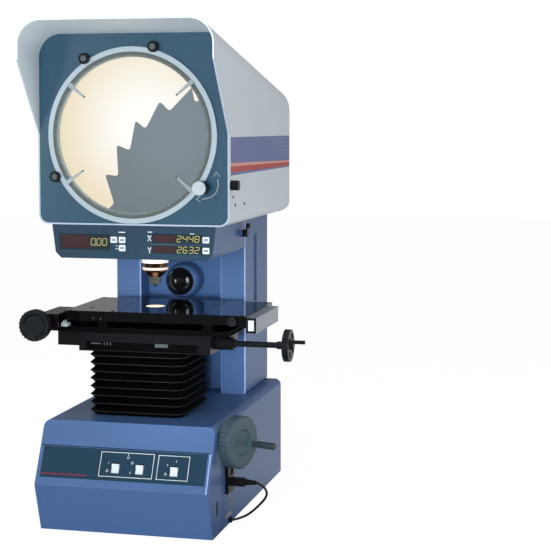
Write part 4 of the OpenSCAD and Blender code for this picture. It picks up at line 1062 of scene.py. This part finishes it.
class COMPARATOR_OT_controls(bpy.types.Operator):
    """Finish the control slope: its film, printed boxes and marks, and the three rockers"""

    bl_idname = "comparator.controls"
    bl_label = "Controls"

    def execute(self, context):
        soft_nodes([("control_panel", "frame", "panel_print", "printed film", 0.5, at_least(4))])
        soft_nodes([(f"{name}_switch", f"{name}_rocker", "white_plastic", "white plastic", 0.6, None)
                    for name in ("contour", "surface", "power")])
        foot, rise = Vector(SLOPE_FOOT), Vector(SLOPE_RISE).normalized()
        out = Vector(ACROSS).cross(rise)
        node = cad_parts["control_panel"]
        proud = max((node.matrix_world @ v.co - foot).dot(out) for v in node.data.vertices)
        casting = foot, ACROSS, rise
        film = foot + out * proud, ACROSS, rise
        inlay("slope_prints", self.prints(), film, 0.1, "white print")
        inlay("brow_gap", [rect(-178, 80.6, 178, 82.2)], casting, 0.1, "black plastic", slot="black_plastic")
        # A strip of lighter enamel along the slope's right edge: a painted highlight.
        inlay("slope_edge_highlight", [rect(174, 0.5, 176.4, 80)], casting, 0.1, "edge enamel", slot="blue_paint")
        inlay("slope_red_line", [rect(-171, 22, -73, 25.6)], film, 0.1, "plum print")
        return {"FINISHED"}

    def prints(self):
        """Boxes around the switches, with small on and off signs."""
        lines = frame_strip(-49, 24, 62, 74, 1.1) + frame_strip(70.5, 24, 135, 73, 1.1)
        circle = [polar(2.2, t) for t in range(0, 361, 30)]
        for a, b in ((-32, 36), (18, 54), (89, 36), (8, 64)):
            lines += stroke([(a + u, b + v) for u, v in circle], 0.8)
        for a, b in ((-31, 52), (16, 34), (91, 54), (108, 62), (8, 70)):
            lines += stroke([(a, b - 2), (a, b + 2)], 1.0)
        return lines


class COMPARATOR_OT_table(bpy.types.Operator):
    """Finish tray, slide and table, with the scale bar, glass, screws and the table's clamp knob"""

    bl_idname = "comparator.table"
    bl_label = "Table"

    def execute(self, context):
        soft_nodes([
            ("stage_tray", "stage", "black_paint", "black enamel", 1.2, at_least(4)),
            ("y_drive_housing", "slide", "black_paint", "black enamel", 1.5, at_least(4))])
        soft_painted("cross_slide", "slide", "black_paint", 0.8, at_least(4), "black enamel",
                     ("matt black", lambda c, n: n.z > 0.9 or c.z > 398.5))
        soft_painted("stage_table", "table", "black_paint", 1.2, at_least(4), "black gloss",
                     ("scale alloy", lambda c, n: c.x > 224.2))
        paint_nodes("clear glass", "clear_glass", "stage_glass")
        paint_nodes("warm light", "clear_glass", "condenser_lens")
        self.table_fittings()
        self.tray_prints()
        edge_screws = [(-97.9, -200, 417.5), (-82.8, -200, 416.4)]
        screws("table_edge_screws", edge_screws, FORWARD, 1.3, 0.4, "table", "bright_steel", "dim print")
        front = front_plane(TABLE_FRONT)
        inlay("scale_end_plate", [rect(229, 402.5, 241, 423.5)], front, 0.4, "white plastic", "table",
              "white_plastic")
        inlay("scale_end_rim", frame_strip(225, 398.5, 245, 427.5, 4), front, 0.8, "black plastic", "table",
              "black_plastic")
        return {"FINISHED"}

    def table_fittings(self):
        """Screws and clamp knob of the table, the spot of light on the glass, and the table's stop."""
        spots = [(-120.5, -148), (-151, -190), (-151, 15), (-60, 15), (30, 15), (120, 15), (213, 15),
                 (213, -190), (-60, -190), (140, -190)]
        heads = [(x, y, TABLE_Z / MM) for x, y in spots]
        screws("table_screws", heads, UP, 3.6, 0.6, "table", "black_plastic", "black plastic")
        turned_knob = [(0, 0), (4, 0), (4, 4), (9.6, 4), (9.6, 13), (8.6, 14), (3, 14), (0, 13.4)]
        knob = revolve("table_clamp_knob", turned_knob, Vector((197, -200, 421)) * MM, FORWARD, 72, 0.5, 24)
        place(knob, "table", "black_plastic", "knob plastic")
        spot = revolve("light_spot", [(0, 0), (20, 0), (20, 0.05), (0, 0.05)],
                       (0, OPTIC_Y, TABLE_Z + 0.02 * MM), UP, 64)
        place(spot, "stage", "clear_glass", "warm light")
        stop = [(-162.5, 400.5), (-149, 400.5), (-147.5, 405), (-151, 408.5), (-155, 408), (-156.5, 412.5),
                (-158.5, 412.5), (-160, 407), (-162.5, 409)]
        inlay("table_stop", [stop], front_plane(TABLE_FRONT + 0.2 * MM), 15, "knob face", "table",
              "bright_steel")

    def tray_prints(self):
        """The shaded band along the tray's front, its tag and its printed rule."""
        front = front_plane(TRAY_FRONT)
        rule = [rect(-108.5, 362.6, -87, 365)]
        rule += [rect(x, 361, x + 2.2, 368.6) for x in (-80.4, -73.8, -67.3)]
        rule.append(rect(29.5, 360, 57, 368.6))
        inlay("tray_shade", [rect(-114, 353, 118, 373)], front, 0.15, "matt black", "stage", "black_paint")
        inlay("tray_tag", [rect(-131, 352.4, -120.5, 358)], front, 0.3, "grey print", "stage")
        inlay("tray_rule", rule, front, 0.4, "dim print", "stage")


# Bellows: depth of a fold, half width of its crest with the painted highlight, cut of its corners, in metres.
FOLD_DEEP = 9 * MM
FOLD_RIDGE = 0.4 * MM
FOLD_CORNER = 17 * MM
HEM_SHARE = 0.97


def belt(bm, low, high):
    """Faces between two rings of vertices."""
    count = len(low)
    return [bm.faces.new([low[i], low[(i + 1) % count], high[(i + 1) % count], high[i]])
            for i in range(count)]


class COMPARATOR_OT_bellows(bpy.types.Operator):
    """Fold the bellows between the base and the stage"""

    bl_idname = "comparator.bellows"
    bl_label = "Bellows"

    def execute(self, context):
        lo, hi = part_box("bellows")
        mid_x, mid_y = (lo.x + hi.x) / 2, (lo.y + hi.y) / 2
        levels = self.levels(lo.z, hi.z, settings().folds)
        bm = bmesh.new()
        rings = []
        for z, inset in levels:
            x0, x1, y0, y1 = lo.x + inset, hi.x - inset, lo.y + inset, hi.y - inset
            c = FOLD_CORNER - inset * 0.6
            rings.append([bm.verts.new((x, y, z)) for x, y in (
                (x1, y1 - c), (x1 - c, y1), (x0 + c, y1), (x0, y1 - c),
                (x0, y0 + c), (x0 + c, y0), (x1 - c, y0), (x1, y0 + c))])
        for k, (low, high) in enumerate(zip(rings, rings[1:])):
            for face in belt(bm, low, high):
                # The crest rows of each fold take the painted highlight.
                face.material_index = 1 if k % 6 in (2, 3) else 0
        hems = []
        for ring in (rings[0], rings[-1]):
            spots = [((v.co.x - mid_x) * HEM_SHARE + mid_x, (v.co.y - mid_y) * HEM_SHARE + mid_y, v.co.z)
                     for v in ring]
            hems.append([bm.verts.new(spot) for spot in spots])
        for low, high in ((rings[0], hems[0]), (rings[-1], hems[1]), hems):
            belt(bm, low, high)
        cloth = from_bmesh("bellows_cloth", bm)
        for name in ("bellows cloth", "ridge highlight"):
            cloth.data.materials.append(mat(name))
        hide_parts("bellows")
        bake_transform(cloth)
        return {"FINISHED"}

    def levels(self, low, high, folds):
        """Heights of the vertex rings and how far each is drawn in: six to a fold, and one at the top."""
        pitch = (high - low) / folds
        out = []
        for i in range(folds):
            z = low + i * pitch
            out += [(z, FOLD_DEEP), (z + 0.25 * pitch, FOLD_DEEP * 0.52),
                    (z + 0.5 * pitch - FOLD_RIDGE, 0.15 * MM), (z + 0.5 * pitch, 0),
                    (z + 0.5 * pitch + FOLD_RIDGE, 0.15 * MM), (z + 0.75 * pitch, FOLD_DEEP * 0.52)]
        return out + [(high, FOLD_DEEP)]


class COMPARATOR_OT_wheels(bpy.types.Operator):
    """Finish the lift handwheel with its knurl and crank, and the X and Y hand wheels"""

    bl_idname = "comparator.wheels"
    bl_label = "Wheels"

    def execute(self, context):
        soft_nodes([
            ("lift_wheel", "wheel", "wheel_grey", "wheel enamel", 1.0, None),
            ("crank_handle", "handle", "black_plastic", "grip plastic", 1.0, None),
            ("x_handwheel", "x_wheel", "black_plastic", "knob plastic", 1.0, None),
            ("y_knob", "y_wheel", "black_plastic", "knob plastic", 1.0, None)])
        slant = Vector((*polar(1, -20), 0))
        middle = Vector((222, -212, 179)) * MM - slant * 12.5 * MM
        blocks_on_ring("lift_wheel_knurl", 150, 52.6, (0.7, 1.1, 19), middle, slant, "wheel", "wheel_grey",
                       "wheel enamel")
        for name, radius, at, axis, body in (
                ("x_wheel_knurl", 32.4, (299, -150, 368), ACROSS, "x_wheel"),
                ("y_knob_knurl", 31.4, (-192, -277.3, 411), FORWARD, "y_wheel")):
            blocks_on_ring(name, 72, radius, (0.8, 1.4, 12), Vector(at) * MM, axis, body, "black_plastic",
                           "knob plastic")
        return {"FINISHED"}


# Heights in mm where one of the lens's turned rings ends and the next begins.
MOUNT_RINGS = (514.7, 523.8)
BARREL_RINGS = (494.4, 505.3)


class COMPARATOR_OT_optics(bpy.types.Operator):
    """Finish the projection lens and the surface illuminator"""

    bl_idname = "comparator.optics"
    bl_label = "Optics"

    def execute(self, context):
        mount_low, mount_high = MOUNT_RINGS
        barrel_low, barrel_high = BARREL_RINGS
        soft_painted("lens_mount", "frame", "bright_steel", 0.5, None, "lens white",
                     ("lens brown", lambda c, n: mount_low < c.z < mount_high),
                     ("lens cream", lambda c, n: c.z < mount_low))
        soft_painted("lens_barrel", "frame", "bright_steel", 0.4, None, "dark turned",
                     ("lens brown", lambda c, n: c.z > barrel_high),
                     ("copper glow", lambda c, n: barrel_low < c.z < barrel_high))
        tip = (0, OPTIC_Y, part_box("lens_barrel")[0].z + 0.5 * MM)
        point = revolve("lens_point", [(0, 0), (2.8, 0), (2.8, 4), (1.6, 6), (0, 6)], tip, (0, 0, -1), 32)
        place(point, "frame", "black_plastic", "lens brown")
        soft_nodes([("surface_lamp_housing", "frame", "blue_paint", "blue enamel", 1.5, None)])
        paint_nodes("lens black", "lens_black", "surface_lamp_lens")
        return {"FINISHED"}


STEPS = (COMPARATOR_OT_finishes, COMPARATOR_OT_stage, COMPARATOR_OT_cord, COMPARATOR_OT_castings,
         COMPARATOR_OT_head, COMPARATOR_OT_screen, COMPARATOR_OT_display, COMPARATOR_OT_controls,
         COMPARATOR_OT_table, COMPARATOR_OT_bellows, COMPARATOR_OT_wheels, COMPARATOR_OT_optics)


class COMPARATOR_PT_panel(bpy.types.Panel):
    """Steps and settings of the comparator"""

    bl_idname = "COMPARATOR_PT_panel"
    bl_label = "Optical Comparator"
    bl_space_type = "VIEW_3D"
    bl_region_type = "UI"
    bl_category = "Comparator"

    def draw(self, context):
        for name in ComparatorSettings.__annotations__:
            self.layout.prop(context.scene.comparator, name)
        for step in STEPS:
            self.layout.operator(step.bl_idname)


CLASSES = (ComparatorSettings, *STEPS, COMPARATOR_PT_panel)


def register():
    """Register the classes and the settings."""
    for item in CLASSES:
        bpy.utils.register_class(item)
    bpy.types.Scene.comparator = bpy.props.PointerProperty(type=ComparatorSettings)


def unregister():
    """Take the settings and the classes out again."""
    del bpy.types.Scene.comparator
    for item in reversed(CLASSES):
        bpy.utils.unregister_class(item)


def main():
    """Build every piece in order."""
    register()
    for step in STEPS:
        group, name = step.bl_idname.split(".")
        result = getattr(getattr(bpy.ops, group), name)()
        if result != {"FINISHED"}:
            raise RuntimeError(f"{step.bl_idname} gave {result}")


if __name__ == "__main__":
    main()
